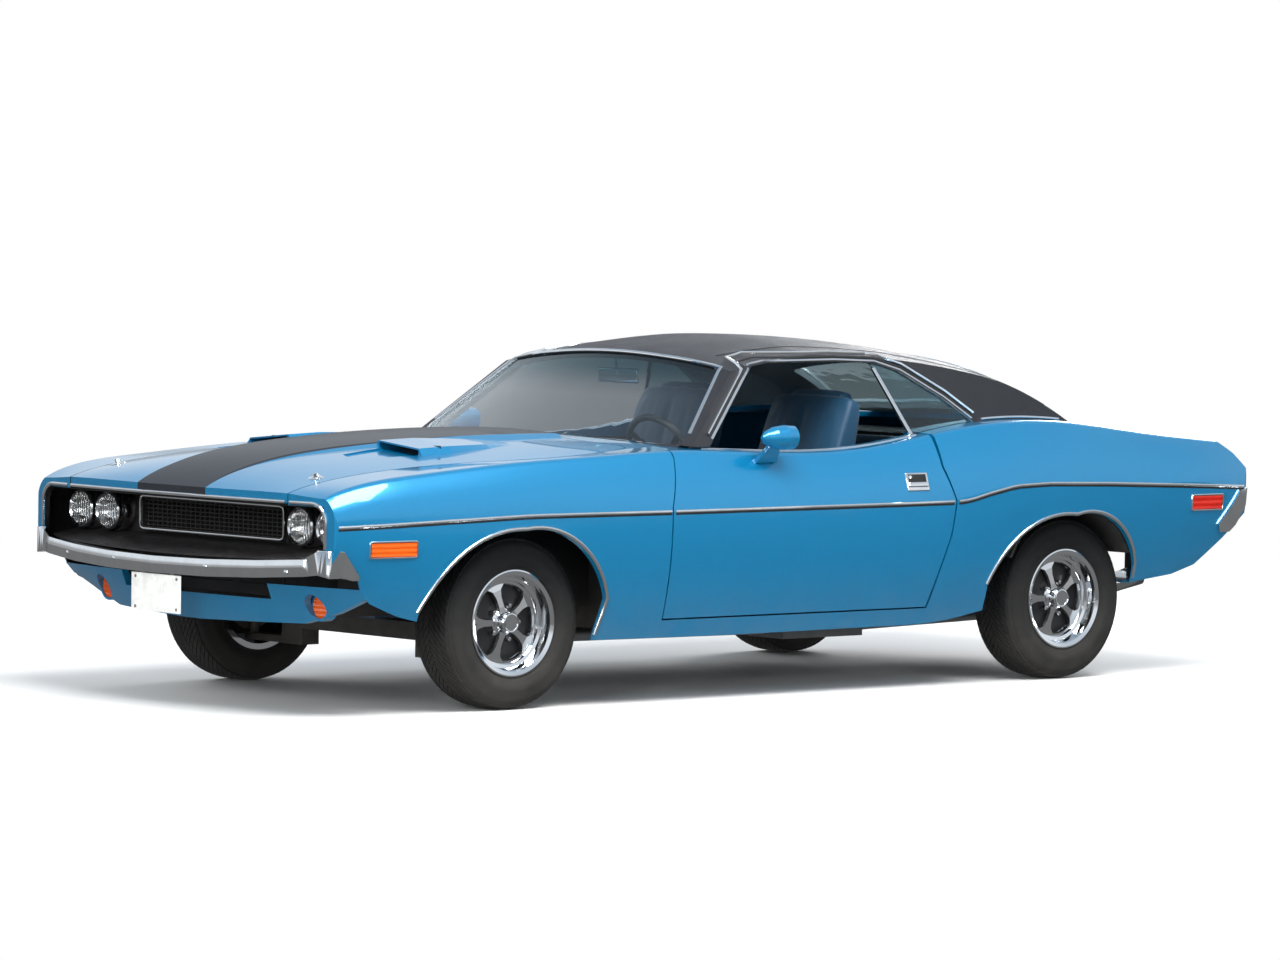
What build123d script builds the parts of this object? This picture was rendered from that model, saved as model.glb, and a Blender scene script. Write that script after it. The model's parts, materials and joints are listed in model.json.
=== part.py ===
"""Two-door hardtop muscle car of about 1970, full size, in millimetres.

X points forward, Y to the car's left and Z up. The origin is on the ground under the
middle of the overall length. Each piece is a solid, or a set of like solids, written to
parts/ under its own name.
"""
import os

from build123d import *

os.makedirs("parts", exist_ok=True)

# Overall sizes and the two axles
LENGTH = 4859
WHEELBASE = 2794
FRONT_OVERHANG = 993
FRONT_AXLE_X = LENGTH / 2 - FRONT_OVERHANG
REAR_AXLE_X = FRONT_AXLE_X - WHEELBASE
FRONT_TRACK = 1516
REAR_TRACK = 1542

# Wheels and tyres
TYRE_RADIUS = 316
TYRE_WIDTH = 215
RIM_RADIUS = 180
RIM_FLANGE_RADIUS = 195
RIM_WIDTH = 190
RIM_WALL = 7
WHEEL_FACE_OUT = 46
WHEEL_MOUNT_OUT = 8
SPOKES = 5
RING_RADIUS = 142
HUB_CAP_RADIUS = 36
HUB_CAP_OUT = 86
LUG_CIRCLE_RADIUS = 64
LUG_RADIUS = 9
PILOT_RADIUS = 32

# Skins, walls and clearances
SKIN = 22
SEAT = 0.3
PANEL_GAP = 6
GLASS = 6
ROOF_WALL = 38
SHOULDER_RADIUS = 34
DOOR_INNER_Y = 765
FLOOR_Z = 262
FLOOR_WALL = 12

# Body surface, one row for each cross-section. Columns: axle it is measured from,
# distance ahead of that axle, half width and height at the lower edge, at the side
# crease and at the shoulder, then the height at the hood's edge and on the centre line
F, R = FRONT_AXLE_X, REAR_AXLE_X
BODY_SECTIONS = (
    # axle, ahead, y_low, z_low, y_crease, z_crease, y_shoulder, z_shoulder, z_edge, z_centre
    (F, 930, 838, 545, 884, 684, 838, 742, 779, 788),
    (F, 755, 868, 420, 922, 690, 866, 826, 831, 864),
    (F, 450, 895, 335, 940, 699, 870, 866, 871, 920),
    (F, 0, 902, 258, 946, 711, 868, 901, 895, 953),
    (F, -400, 905, 245, 951, 711, 866, 919, 909, 968),
    (F, -790, 906, 242, 955, 710, 862, 930, 938, 966),
    (R, 1557, 906, 242, 955, 712, 862, 916, 928, 950),
    (R, 1007, 906, 245, 955, 714, 862, 930, 939, 955),
    (R, 700, 905, 255, 957, 720, 862, 974, 980, 992),
    (R, 417, 905, 300, 963, 768, 862, 1009, 1013.5, 1022),
    (R, 57, 905, 345, 966.5, 777, 862, 1014, 1019, 1028),
    (R, -443, 898, 375, 961, 765, 862, 962, 968, 980),
    (R, -793, 886, 440, 949, 750, 862, 929, 935, 946),
    (R, -1050, 866, 545, 920, 735, 850, 893, 899, 910),
)
SIDE_BOW_LOW = 18
SIDE_BOW_HIGH = 16
# The inner forms reach below the skin by this share of their inset, which leaves it open below
BELOW_PER_INSET = 4

# Ends of the body in side view and in plan
NOSE_X = LENGTH / 2 - 79
TAIL_X = -LENGTH / 2 + 42
NOSE_PLAN_BOW = 52
TAIL_PLAN_BOW = 40
END_HALF_WIDTH = 900

# Hood, cowl, doors and lid
HOOD_FRONT_HALF = 656
HOOD_REAR_HALF = 694
HOOD_REAR_CENTRE_X = F - 630
HOOD_REAR_CORNER_X = F - 700
HOOD_SIDE_REAR_X = F - 620
HOOD_LIP_Z = 762
COWL_REAR_CENTRE_X = F - 776
COWL_REAR_CORNER_X = F - 915
DOOR_FRONT_X = F - 661
DOOR_TOP_FRONT_X = F - 742
DOOR_REAR_X = R + 700
DOOR_CREASE_REAR_X = R + 676
DOOR_TOP_REAR_X = R + 722
DOOR_LOW_REAR_X = R + 796
DOOR_BOTTOM_Z = 314
DOOR_OUTER_Y = 975
DOOR_REAR_TAPER = 0.09
SILL_BOTTOM_Z = 236
LID_FRONT_X = R - 440
LID_REAR_X = TAIL_X - 60
LID_LIP_Z = 806
LID_HALF_WIDTH = 622

# Hood bulge, at the body's own cross-sections. Columns: row of the body table, half width at
# its foot, half width on top and height over the hood
BULGE_SECTIONS = ((0, 206, 192, 0.5), (1, 226, 204, 3), (2, 264, 224, 11), (3, 322, 264, 17),
                  (4, 354, 302, 17), (5, 372, 322, 14))
# Left scoop. Columns: distance ahead of the front axle, inner and outer edge, height
SCOOP_SECTIONS = ((170, 256, 530, 25), (20, 262, 520, 23), (-190, 288, 480, 12), (-330, 325, 440, 1))
SCOOP_MOUTH = (278, 506)
SCOOP_APRON = ((172, 304), (172, 506), (330, 480), (420, 420), (390, 340))
SCOOP_APRON_DEPTH = 6

# Front end
GRILLE_OPENING_HALF = 848
GRILLE_OPENING_LOW = 540
GRILLE_OPENING_HIGH = 756
GRILLE_OPENING_RADIUS = 58
GRILLE_TRAY = 5
BUMPER_LOW = 532
BUMPER_DEPTH = 48
BUMPER_HALF = 888
BUMPER_SIDE_X = F + 878
# Front view of the bumper's upper and lower edge. Columns: y, z
BUMPER_TOP = ((0, 543), (300, 547), (550, 556), (770, 568), (838, 600), (960, 600))
BUMPER_BOTTOM = ((960, 490), (838, 515), (770, 507), (550, 493), (300, 484), (0, 481))
# Plan and side view of the bumper's left wing. Columns: x ahead of the front axle, then y or z
WING_PLAN = ((886, 826), (882, 862), (864, 892), (830, 915), (778, 933), (774, 919), (818, 899),
             (842, 880), (854, 826))
WING_SIDE = ((910, 603), (831, 601), (769, 499), (800, 497), (910, 530))
# Valance. Columns: height, x on the centre line and at the ends, all ahead of the front axle
VALANCE_EDGES = ((462, 830, 736), (310, 796, 594))
VALANCE_HALF = 905
VALANCE_DEPTH = 30
VALANCE_OUTLINE = ((905, 470), (905, 428), (868, 420), (720, 366), (560, 322), (0, 309))
SIGNAL_Y = 640
SIGNAL_Z = 388
SIGNAL_RADIUS = 44
HEADLAMP_X = F + 770
HEADLAMP_Z = 673
HEADLAMP_RADIUS = 70
HEADLAMP_INNER_Y = 585
HEADLAMP_OUTER_Y = 752
GRILLE_X = F + 713
GRILLE_HALF = 436
GRILLE_LOW = 614
GRILLE_HIGH = 736
GRILLE_PITCH_Y = 29
GRILLE_PITCH_Z = 15.2

# Tail
REAR_BUMPER_HALF = 880
REAR_BUMPER_DEPTH = 44
REAR_BUMPER_PROUD = 9
# Rear blade's two edges. Columns: height, x on the centre line and at the ends ahead of the axle
REAR_BUMPER_EDGES = ((690, -1072, -960), (572, -973, -855))
# Side view of the rear bumper's ends. Columns: x ahead of the rear axle, z
REAR_BUMPER_SIDE = ((-985, 735), (-910, 728), (-792, 592), (-807, 560), (-882, 560))
TAIL_LAMP_LOW = 696
TAIL_LAMP_HIGH = 772
TAIL_LAMP_HALF = 800
TAIL_LAMP_DEPTH = 12

# Greenhouse
ROOF_TOP_Z = 1337
ROOF_TOP_X = F - 1636
ROOF_LOFT_HALF = 900
ROOF_SIDE_DROP = 131
ROOF_SIDE_SHIFT = 212
BELT_HALF = 826
BELT_Z = 915
TUMBLEHOME = 0.538
WINDSHIELD_BASE_X = F - 722
WINDSHIELD_BASE_CORNER_X = F - 890
WINDSHIELD_BASE_Z = 940
WINDSHIELD_TOP_X = F - 1176
WINDSHIELD_TOP_CORNER_X = F - 1284
WINDSHIELD_TOP_Z = 1280
REAR_ROOF_BREAK_X = R + 287
REAR_ROOF_BREAK_Z = 1268
BACKLIGHT_BASE_X = R - 300
BACKLIGHT_BASE_Z = 1003

# Door mirrors
MIRROR_X = F - 1272
MIRROR_Y = 942
MIRROR_Z = 975
MIRROR_LENGTH = 150
MIRROR_RADIUS = 47

# Floor
TUNNEL_Z = 400
TUNNEL_BASE_HALF = 132
TUNNEL_TOP_HALF = 92
KICK_UP_X = R + 620
KICK_UP_Z = 400
TRUNK_FLOOR_X = R + 330
TRUNK_FLOOR_Z = 500
FLOOR_HALF = 640

# Running gear
KINGPIN_Y = 690
KINGPIN_HALF = 130
DRUM_RADIUS = 120


def box(x_range, y_range, z_range):
    """Box between two corners, given as three ranges."""
    sizes = [high - low for low, high in (x_range, y_range, z_range)]
    corner = Pos(x_range[0], y_range[0], z_range[0])
    return corner * Box(*sizes, align=(Align.MIN, Align.MIN, Align.MIN))


def extruded(face, step):
    """Face run along a straight step, whichever way it was drawn."""
    if face.normal_at().dot(step) < 0:
        face = -face
    return Solid.extrude(face, step)


def polygon_face(points, radius=0):
    """Flat face with straight sides and, if asked, rounded corners."""
    face = Face(Wire.make_polygon([Vector(*point) for point in points], close=True))
    if radius:
        face = face.fillet_2d(radius, face.vertices())
    return face


def side_prism(outline, y_range, radius=0):
    """(x, z) outline run across the car."""
    face = polygon_face([(x, y_range[0], z) for x, z in outline], radius)
    return extruded(face, Vector(0, y_range[1] - y_range[0], 0))


def plan_prism(outline, z_range, radius=0):
    """(x, y) outline run upwards."""
    face = polygon_face([(x, y, z_range[0]) for x, y in outline], radius)
    return extruded(face, Vector(0, 0, z_range[1] - z_range[0]))


def end_prism(outline, x_range, radius=0):
    """(y, z) outline run along the car."""
    face = polygon_face([(x_range[0], y, z) for y, z in outline], radius)
    return extruded(face, Vector(x_range[1] - x_range[0], 0, 0))


def rod(start, end, radius):
    """Round bar between two points."""
    start, end = Vector(*start), Vector(*end)
    plane = Plane(origin=start, z_dir=end - start)
    return Solid.make_cylinder(radius, (end - start).length, plane)


def mirrored(shape):
    """The same shape on the other side of the car."""
    return shape.mirror(Plane.XZ)


def both(shape):
    """The shape and its mirror image, as two solids."""
    return Compound([solid for side in (shape, mirrored(shape)) for solid in side.solids()])


def symmetric(half_outline):
    """Outline of (x, y) points at y over 0, closed by its mirror image."""
    return list(half_outline) + [(x, -y) for x, y in reversed(half_outline) if y]


def bowed(start, end, rise):
    """Point beside the middle of a side's chord, moved outwards by the rise."""
    step_y, step_z = end[0] - start[0], end[1] - start[1]
    length = (step_y ** 2 + step_z ** 2) ** 0.5
    middle = ((start[0] + end[0]) / 2, (start[1] + end[1]) / 2)
    return middle[0] + rise * step_z / length, middle[1] - rise * step_y / length


def hood_half(x):
    """Half width of the hood at one place along the car, and of its rear end behind that."""
    front_x = NOSE_X + 60
    share = min((front_x - x) / (front_x - HOOD_SIDE_REAR_X), 1)
    return HOOD_FRONT_HALF + (HOOD_REAR_HALF - HOOD_FRONT_HALF) * share


def body_section(row, inset):
    """Cross-section of the body at one row of the table, drawn in by the inset."""
    axle, ahead, y_low, z_low, y_crease, z_crease, y_shoulder, z_shoulder, z_edge, z_centre = row
    x = axle + ahead
    low = (y_low - inset, z_low - BELOW_PER_INSET * inset)
    crease = (y_crease - inset, z_crease)
    shoulder = (y_shoulder - inset, z_shoulder - inset)
    edge = (hood_half(x) + PANEL_GAP / 2, z_edge - inset)
    low_bow = bowed(low, crease, SIDE_BOW_LOW)
    high_bow = bowed(crease, shoulder, SIDE_BOW_HIGH)

    def at(point, side=1):
        return Vector(x, side * point[0], point[1])

    arc = Edge.make_three_point_arc
    edges = [
        Edge.make_line(at(low, -1), at(low)),
        arc(at(low), at(low_bow), at(crease)),
        arc(at(crease), at(high_bow), at(shoulder)),
        Edge.make_line(at(shoulder), at(edge)),
        arc(at(edge), Vector(x, 0, z_centre - inset), at(edge, -1)),
        Edge.make_line(at(edge, -1), at(shoulder, -1)),
        arc(at(shoulder, -1), at(high_bow, -1), at(crease, -1)),
        arc(at(crease, -1), at(low_bow, -1), at(low, -1)),
    ]
    face = Face(Wire(edges))
    corners = [corner for corner in face.vertices()
               if abs(corner.Z - shoulder[1]) < 0.01 and abs(abs(corner.Y) - shoulder[0]) < 0.01]
    return face.fillet_2d(SHOULDER_RADIUS, corners)


def body_solid(inset):
    """The whole lower body as one form, drawn in by the inset at its sides, top and ends."""
    form = loft([body_section(row, inset) for row in BODY_SECTIONS])
    nose, tail = NOSE_X - inset, TAIL_X + inset
    side = [(nose - 12, 1400), (nose, HOOD_LIP_Z + 12), (nose - 22, GRILLE_OPENING_LOW),
            (nose - 60, 500), (nose - 180, 150), (tail + 750, 150),
            (tail + 700, 372), (tail + 460, 397), (tail + 330, 432), (tail + 195, 532),
            (tail + 40, 668), (tail + 14, 740), (tail + 55, 812),
            (tail + 112, 874), (tail + 200, 935), (tail + 200, 1400)]
    side_form = side_prism(side, (-1100, 1100))
    corner = END_HALF_WIDTH
    arc = Edge.make_three_point_arc
    ends = [
        arc(Vector(nose - NOSE_PLAN_BOW, corner, 0), Vector(nose, 0, 0),
            Vector(nose - NOSE_PLAN_BOW, -corner, 0)),
        Edge.make_line(Vector(nose - NOSE_PLAN_BOW, -corner, 0), Vector(nose - 300, -1100, 0)),
        Edge.make_line(Vector(nose - 300, -1100, 0), Vector(tail + 300, -1100, 0)),
        Edge.make_line(Vector(tail + 300, -1100, 0), Vector(tail + TAIL_PLAN_BOW, -corner, 0)),
        arc(Vector(tail + TAIL_PLAN_BOW, -corner, 0), Vector(tail, 0, 0),
            Vector(tail + TAIL_PLAN_BOW, corner, 0)),
        Edge.make_line(Vector(tail + TAIL_PLAN_BOW, corner, 0), Vector(tail + 300, 1100, 0)),
        Edge.make_line(Vector(tail + 300, 1100, 0), Vector(nose - 300, 1100, 0)),
        Edge.make_line(Vector(nose - 300, 1100, 0), Vector(nose - NOSE_PLAN_BOW, corner, 0)),
    ]
    plan_form = extruded(Face(Wire(ends)), Vector(0, 0, 1400))
    return form & side_form & plan_form


# Wheel arches. Columns: distance ahead of the axle, height over the wheel centre
FRONT_ARCH = ((478, 55), (257, 288), (18, 340), (-215, 292), (-369, 83), (-329, -54))
REAR_ARCH = ((476, 72), (317, 261), (27, 329), (-233, 271), (-326, 130), (-330, 40))


def arch_cut(axle_x, rows, y_range):
    """Wheel arch opening: two arcs over the wheel, open to the ground."""
    y = y_range[0]
    points = [Vector(axle_x + ahead, y, TYRE_RADIUS + up) for ahead, up in rows]
    front, front_mid, top, rear_mid, rear, tuck = points
    ground_front = Vector(front.X + 12, y, 100)
    ground_rear = Vector(tuck.X + 5, y, 100)
    edges = [
        Edge.make_line(ground_front, front),
        Edge.make_three_point_arc(front, front_mid, top),
        Edge.make_three_point_arc(top, rear_mid, rear),
        Edge.make_line(rear, tuck),
        Edge.make_line(tuck, ground_rear),
        Edge.make_line(ground_rear, ground_front),
    ]
    return extruded(Face(Wire(edges)), Vector(0, y_range[1] - y_range[0], 0))


OUTER = body_solid(0)
INNER = body_solid(SKIN)
TRIM = body_solid(SKIN + SEAT)
SHELL = OUTER - INNER

FRONT_ARCH_CUT = arch_cut(F, FRONT_ARCH, (500, 1100))
REAR_ARCH_CUT = arch_cut(R, REAR_ARCH, (620, 1100))


def hood_side(grow):
    """Plan of the hood's left edge from the nose to the middle of its rear edge."""
    return [(NOSE_X + 60, HOOD_FRONT_HALF + grow), (HOOD_SIDE_REAR_X, HOOD_REAR_HALF + grow),
            (HOOD_REAR_CORNER_X + 24 - 0.7 * grow, HOOD_REAR_HALF - 18 + 0.7 * grow),
            (HOOD_REAR_CORNER_X + 4 - grow, HOOD_REAR_HALF - 69),
            (HOOD_REAR_CORNER_X + 46 - grow, HOOD_REAR_HALF - 234), (HOOD_REAR_CENTRE_X - grow, 0)]


def skin_height(x, y):
    """Height of the body's top surface."""
    hits = OUTER.find_intersection_points(Axis((x, y, 0), (0, 0, 1)))
    return max(point.Z for point, _ in hits)


def door_outline(grow):
    """Side view of a door, grown by the given gap."""
    return [
        (DOOR_FRONT_X + grow, DOOR_BOTTOM_Z - grow), (DOOR_FRONT_X - 12 + grow, 520),
        (DOOR_FRONT_X - 20 + grow, 726), (DOOR_TOP_FRONT_X + grow, 905),
        (DOOR_TOP_FRONT_X + grow, 1100), (DOOR_TOP_REAR_X - grow, 1100),
        (DOOR_TOP_REAR_X - grow, 850), (DOOR_CREASE_REAR_X - grow, 716),
        (DOOR_REAR_X - grow, 590), (DOOR_LOW_REAR_X - 40 - grow, 437),
        (DOOR_LOW_REAR_X - grow, DOOR_BOTTOM_Z - grow)]


def front_opening(inset=0, x_range=(F + 500, F + 1100)):
    """The wide recess that holds the grille and the lamps, drawn in by the inset."""
    half = GRILLE_OPENING_HALF - inset
    low, high = GRILLE_OPENING_LOW + inset, GRILLE_OPENING_HIGH - inset
    outline = [(-half, low), (half, low), (half, high), (-half, high)]
    return end_prism(outline, x_range, GRILLE_OPENING_RADIUS - inset)


def make_bulge():
    """Raised middle of the hood with sloping flanks."""
    sections = []
    for number, foot, top, rise in BULGE_SECTIONS:
        row = BODY_SECTIONS[number]
        x, z_edge, z_centre = row[0] + row[1], row[-2], row[-1]

        def height(y):
            return z_edge + (z_centre - z_edge) * (1 - (y / hood_half(x)) ** 2)

        crown = (height(top) + rise, z_centre + rise)
        points = [Vector(x, y, z) for y, z in (
            (top, crown[0]), (foot, height(foot) - 2), (foot, z_edge - 60),
            (-foot, z_edge - 60), (-foot, height(foot) - 2), (-top, crown[0]))]
        edges = [Edge.make_line(a, b) for a, b in zip(points, points[1:])]
        edges.append(Edge.make_three_point_arc(points[-1], Vector(x, 0, crown[1]), points[0]))
        sections.append(Face(Wire(edges)))
    return loft(sections)


def make_scoop():
    """Left scoop: a low blister with its mouth towards the nose."""
    sections = []
    for ahead, inner, outer, rise in SCOOP_SECTIONS:
        x = F + ahead
        low = skin_height(x, outer) - 40
        points = [(inner, low), (inner, skin_height(x, inner)),
                  (inner + 16, skin_height(x, inner + 16) + rise),
                  (outer - 24, skin_height(x, outer - 24) + rise),
                  (outer, skin_height(x, outer)), (outer, low)]
        sections.append(polygon_face([(x, y, z) for y, z in points]))
    scoop = loft(sections, ruled=True)
    front = F + SCOOP_SECTIONS[0][0]
    inner, outer = SCOOP_MOUTH
    rise = SCOOP_SECTIONS[0][-1] - 6
    z_inner, z_outer = skin_height(front, inner), skin_height(front, outer)
    mouth = end_prism([(inner, z_inner - 6), (outer, z_outer - 6), (outer, z_outer + rise),
                       (inner, z_inner + rise)], (front - 110, front + 5))
    return scoop, mouth


def make_hood():
    """Hood skin with its centre bulge and two low scoops."""
    region = plan_prism(symmetric(hood_side(0)), (HOOD_LIP_Z, 1200))
    apron_plan = [(F + ahead, y) for ahead, y in SCOOP_APRON]
    apron = plan_prism(apron_plan, (800, 1200)) - OUTER.moved(Pos(0, 0, -SCOOP_APRON_DEPTH))
    skin = (SHELL & region) - apron - mirrored(apron)
    bulge = make_bulge() & region & OUTER.moved(Pos(0, 0, 30))
    scoop, mouth = make_scoop()
    raised = (bulge + scoop + mirrored(scoop)) - INNER
    return (skin + raised) - mouth - mirrored(mouth)


def make_fender():
    """Left front fender: skin from the hood gap down, with its arch and lamp recess."""
    region = plan_prism([
        (NOSE_X + 60, HOOD_FRONT_HALF + PANEL_GAP), (NOSE_X + 60, 1100),
        (DOOR_TOP_FRONT_X - 200, 1100), (DOOR_TOP_FRONT_X - 200, HOOD_REAR_HALF + PANEL_GAP),
        (HOOD_SIDE_REAR_X, HOOD_REAR_HALF + PANEL_GAP)], (100, 1200))
    ahead_of_door = side_prism([
        (NOSE_X + 60, 1200), (DOOR_TOP_FRONT_X + PANEL_GAP, 1200),
        (DOOR_TOP_FRONT_X + PANEL_GAP, 905), (DOOR_FRONT_X - 20 + PANEL_GAP, 726),
        (DOOR_FRONT_X - 12 + PANEL_GAP, 520), (DOOR_FRONT_X + PANEL_GAP, DOOR_BOTTOM_Z),
        (DOOR_FRONT_X + PANEL_GAP, SILL_BOTTOM_Z), (F + VALANCE_EDGES[1][2], SILL_BOTTOM_Z),
        (F + VALANCE_EDGES[1][2], VALANCE_EDGES[1][0]), (F + VALANCE_EDGES[0][2], VALANCE_EDGES[0][0]),
        (F + 760, BUMPER_LOW), (NOSE_X + 60, BUMPER_LOW)], (0, 1100))
    return (SHELL & region & ahead_of_door) - FRONT_ARCH_CUT - front_opening()


def make_quarter():
    """Left rear quarter: skin round the arch and a full wall ahead of it."""
    behind_door = side_prism([
        (DOOR_TOP_REAR_X - PANEL_GAP, 1200), (DOOR_TOP_REAR_X - PANEL_GAP, 850),
        (DOOR_CREASE_REAR_X - PANEL_GAP, 716), (DOOR_REAR_X - PANEL_GAP, 590),
        (DOOR_LOW_REAR_X - 40 - PANEL_GAP, 437),
        (DOOR_LOW_REAR_X - PANEL_GAP, DOOR_BOTTOM_Z - PANEL_GAP),
        (R + 350, DOOR_BOTTOM_Z - PANEL_GAP), (R + 300, 200), (TAIL_X - 60, 200),
        (TAIL_X - 60, 1200)], (0, 1100))
    side_skin = SHELL & plan_prism([
        (DOOR_LOW_REAR_X + 50, 700), (DOOR_LOW_REAR_X + 50, 1100), (TAIL_X - 60, 1100),
        (TAIL_X - 60, LID_HALF_WIDTH + PANEL_GAP), (R + 200, LID_HALF_WIDTH + PANEL_GAP),
        (R + 200, 700)], (100, 1200))
    wall = OUTER & box((R + 400, DOOR_LOW_REAR_X + 50), (DOOR_INNER_Y, 1100), (200, 1200))
    quarter = ((side_skin + wall) & behind_door) - REAR_ARCH_CUT
    return quarter - lamp_recess(SEAT)


def make_door():
    """Left door, as thick as the real one from skin to inner trim."""
    straight = side_prism(door_outline(0), (DOOR_INNER_Y, 1100))
    outline = polygon_face([(x, DOOR_OUTER_Y, z) for x, z in door_outline(0)])
    depth = DOOR_OUTER_Y - DOOR_INNER_Y
    slanted = extruded(outline, Vector(depth * DOOR_REAR_TAPER, -depth, 0))
    return OUTER & straight & slanted


def make_sill():
    """Left sill below the door, between the two arches."""
    sill = OUTER & box((R + 300, F - 300), (DOOR_INNER_Y - 60, 1100),
                       (SILL_BOTTOM_Z, DOOR_BOTTOM_Z - PANEL_GAP))
    behind_fender = box((R + 300, DOOR_FRONT_X + PANEL_GAP - SEAT), (0, 1100), (0, 1000))
    return (sill & behind_fender) - REAR_ARCH_CUT


def make_trunk_lid():
    """Lid skin between the quarters."""
    region = plan_prism([(LID_FRONT_X, LID_HALF_WIDTH), (LID_REAR_X, LID_HALF_WIDTH),
                         (LID_REAR_X, -LID_HALF_WIDTH), (LID_FRONT_X, -LID_HALF_WIDTH)],
                        (LID_LIP_Z, 1200))
    return SHELL & region


def make_deck_panel():
    """Fixed panel between the rear glass and the lid."""
    return SHELL & box((LID_FRONT_X + PANEL_GAP, R - 230),
                       (-LID_HALF_WIDTH - PANEL_GAP, LID_HALF_WIDTH + PANEL_GAP), (850, 1200))


def make_cowl():
    """Panel between the hood and the windshield, out to the pillars' feet."""
    hood_edge = hood_side(PANEL_GAP)[:1:-1]
    plan = symmetric(hood_edge + [
        (HOOD_SIDE_REAR_X, HOOD_REAR_HALF + PANEL_GAP - SEAT),
        (DOOR_TOP_FRONT_X, HOOD_REAR_HALF + PANEL_GAP - SEAT),
        (DOOR_TOP_FRONT_X, DOOR_INNER_Y - PANEL_GAP),
        (COWL_REAR_CORNER_X, DOOR_INNER_Y - PANEL_GAP), (COWL_REAR_CENTRE_X - 20, 350),
        (COWL_REAR_CENTRE_X, 0)])
    top = SHELL & plan_prism(plan, (840, 1200))
    feet = box((COWL_REAR_CORNER_X, COWL_REAR_CORNER_X + 60),
               (DOOR_INNER_Y - 60, DOOR_INNER_Y - PANEL_GAP), (DOOR_BOTTOM_Z - PANEL_GAP, 930))
    return top + ((feet + mirrored(feet)) & TRIM.moved(Pos(0, 0, SEAT)))


def roof_profile(y, top_drop, x_shift):
    """Side view of the greenhouse top at one distance from the centre line."""
    top_z = ROOF_TOP_Z - top_drop
    front = Vector(F - 650, y, top_z - 200)
    crest = Vector(ROOF_TOP_X, y, top_z)
    through = Vector(WINDSHIELD_TOP_X, y, top_z - 57)
    turn = Vector(REAR_ROOF_BREAK_X + x_shift / 3, y, REAR_ROOF_BREAK_Z - top_drop)
    base = Vector(BACKLIGHT_BASE_X + x_shift, y, BACKLIGHT_BASE_Z - top_drop / 4)
    low_rear = Vector(BACKLIGHT_BASE_X + x_shift, y, 880)
    low_front = Vector(F - 650, y, 880)
    front_arc = Edge.make_three_point_arc(front, through, crest)
    top_arc = Edge.make_tangent_arc(crest, Vector(-1, 0, 0), turn)
    rear_arc = Edge.make_tangent_arc(turn, top_arc.tangent_at(1), base)
    edges = [front_arc, top_arc, rear_arc, Edge.make_line(base, low_rear),
             Edge.make_line(low_rear, low_front), Edge.make_line(low_front, front)]
    return Face(Wire(edges))


def side_limits(z, front_x, front_corner_x, inset):
    """Plan of the greenhouse at one height: curved windshield, straight sides."""
    half = BELT_HALF - (z - BELT_Z) * TUMBLEHOME - inset
    rear_x = BACKLIGHT_BASE_X - 200
    arc = Edge.make_three_point_arc(
        Vector(front_corner_x - inset, half, z), Vector(front_x - inset, 0, z),
        Vector(front_corner_x - inset, -half, z))
    edges = [
        arc, Edge.make_line(Vector(front_corner_x - inset, -half, z), Vector(rear_x, -half, z)),
        Edge.make_line(Vector(rear_x, -half, z), Vector(rear_x, half, z)),
        Edge.make_line(Vector(rear_x, half, z), Vector(front_corner_x - inset, half, z))]
    return Face(Wire(edges))


def greenhouse(inset):
    """The whole cabin top as one form, drawn in by the inset."""
    profiles = [(-ROOF_LOFT_HALF, ROOF_SIDE_DROP, ROOF_SIDE_SHIFT), (0, 0, 0),
                (ROOF_LOFT_HALF, ROOF_SIDE_DROP, ROOF_SIDE_SHIFT)]
    top = loft([roof_profile(y, drop, shift) for y, drop, shift in profiles])
    top = top.moved(Pos(0, 0, -inset))
    rise = WINDSHIELD_TOP_Z - WINDSHIELD_BASE_Z
    slope = (WINDSHIELD_TOP_X - WINDSHIELD_BASE_X) / rise
    corner_slope = (WINDSHIELD_TOP_CORNER_X - WINDSHIELD_BASE_CORNER_X) / rise
    sections = []
    for z in (860, 1400):
        up = z - WINDSHIELD_BASE_Z
        sections.append(side_limits(z, WINDSHIELD_BASE_X + up * slope,
                                    WINDSHIELD_BASE_CORNER_X + up * corner_slope, inset))
    return top & loft(sections, ruled=True)


GREENHOUSE = greenhouse(0)
CABIN_TOP = greenhouse(ROOF_WALL)
GLASS_INNER = greenhouse(GLASS + 8)
GLASS_OUTER = greenhouse(8)

# Window outlines. The windshield's columns are y and the height on its sloping plane, the side
# window's x and z and the rear glass's x and y
WINDSHIELD_OUTLINE = ((768, 1017), (600, 1271), (300, 1268), (-300, 1268), (-600, 1271),
                      (-768, 1017), (-590, 988), (-400, 964), (0, 945), (400, 964), (590, 988))
SIDE_OUTLINE = (
    (F - 937, 905), (F - 1320, 1232), (F - 1396, 1243), (R + 1040, 1247), (R + 837, 1240),
    (R + 717, 1206), (R + 537, 1103), (R + 427, 1020), (R + 407, 998), (R + 407, 905))
BACKLIGHT_OUTLINE = ((R + 215, -505), (R + 215, 505), (R - 130, 585), (R - 205, 300), (R - 225, 0),
                     (R - 205, -300), (R - 130, -585))
BACKLIGHT_RADIUS = 50
DIVIDER_LINE = ((R + 768, 953), (R + 845, 1212))


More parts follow.
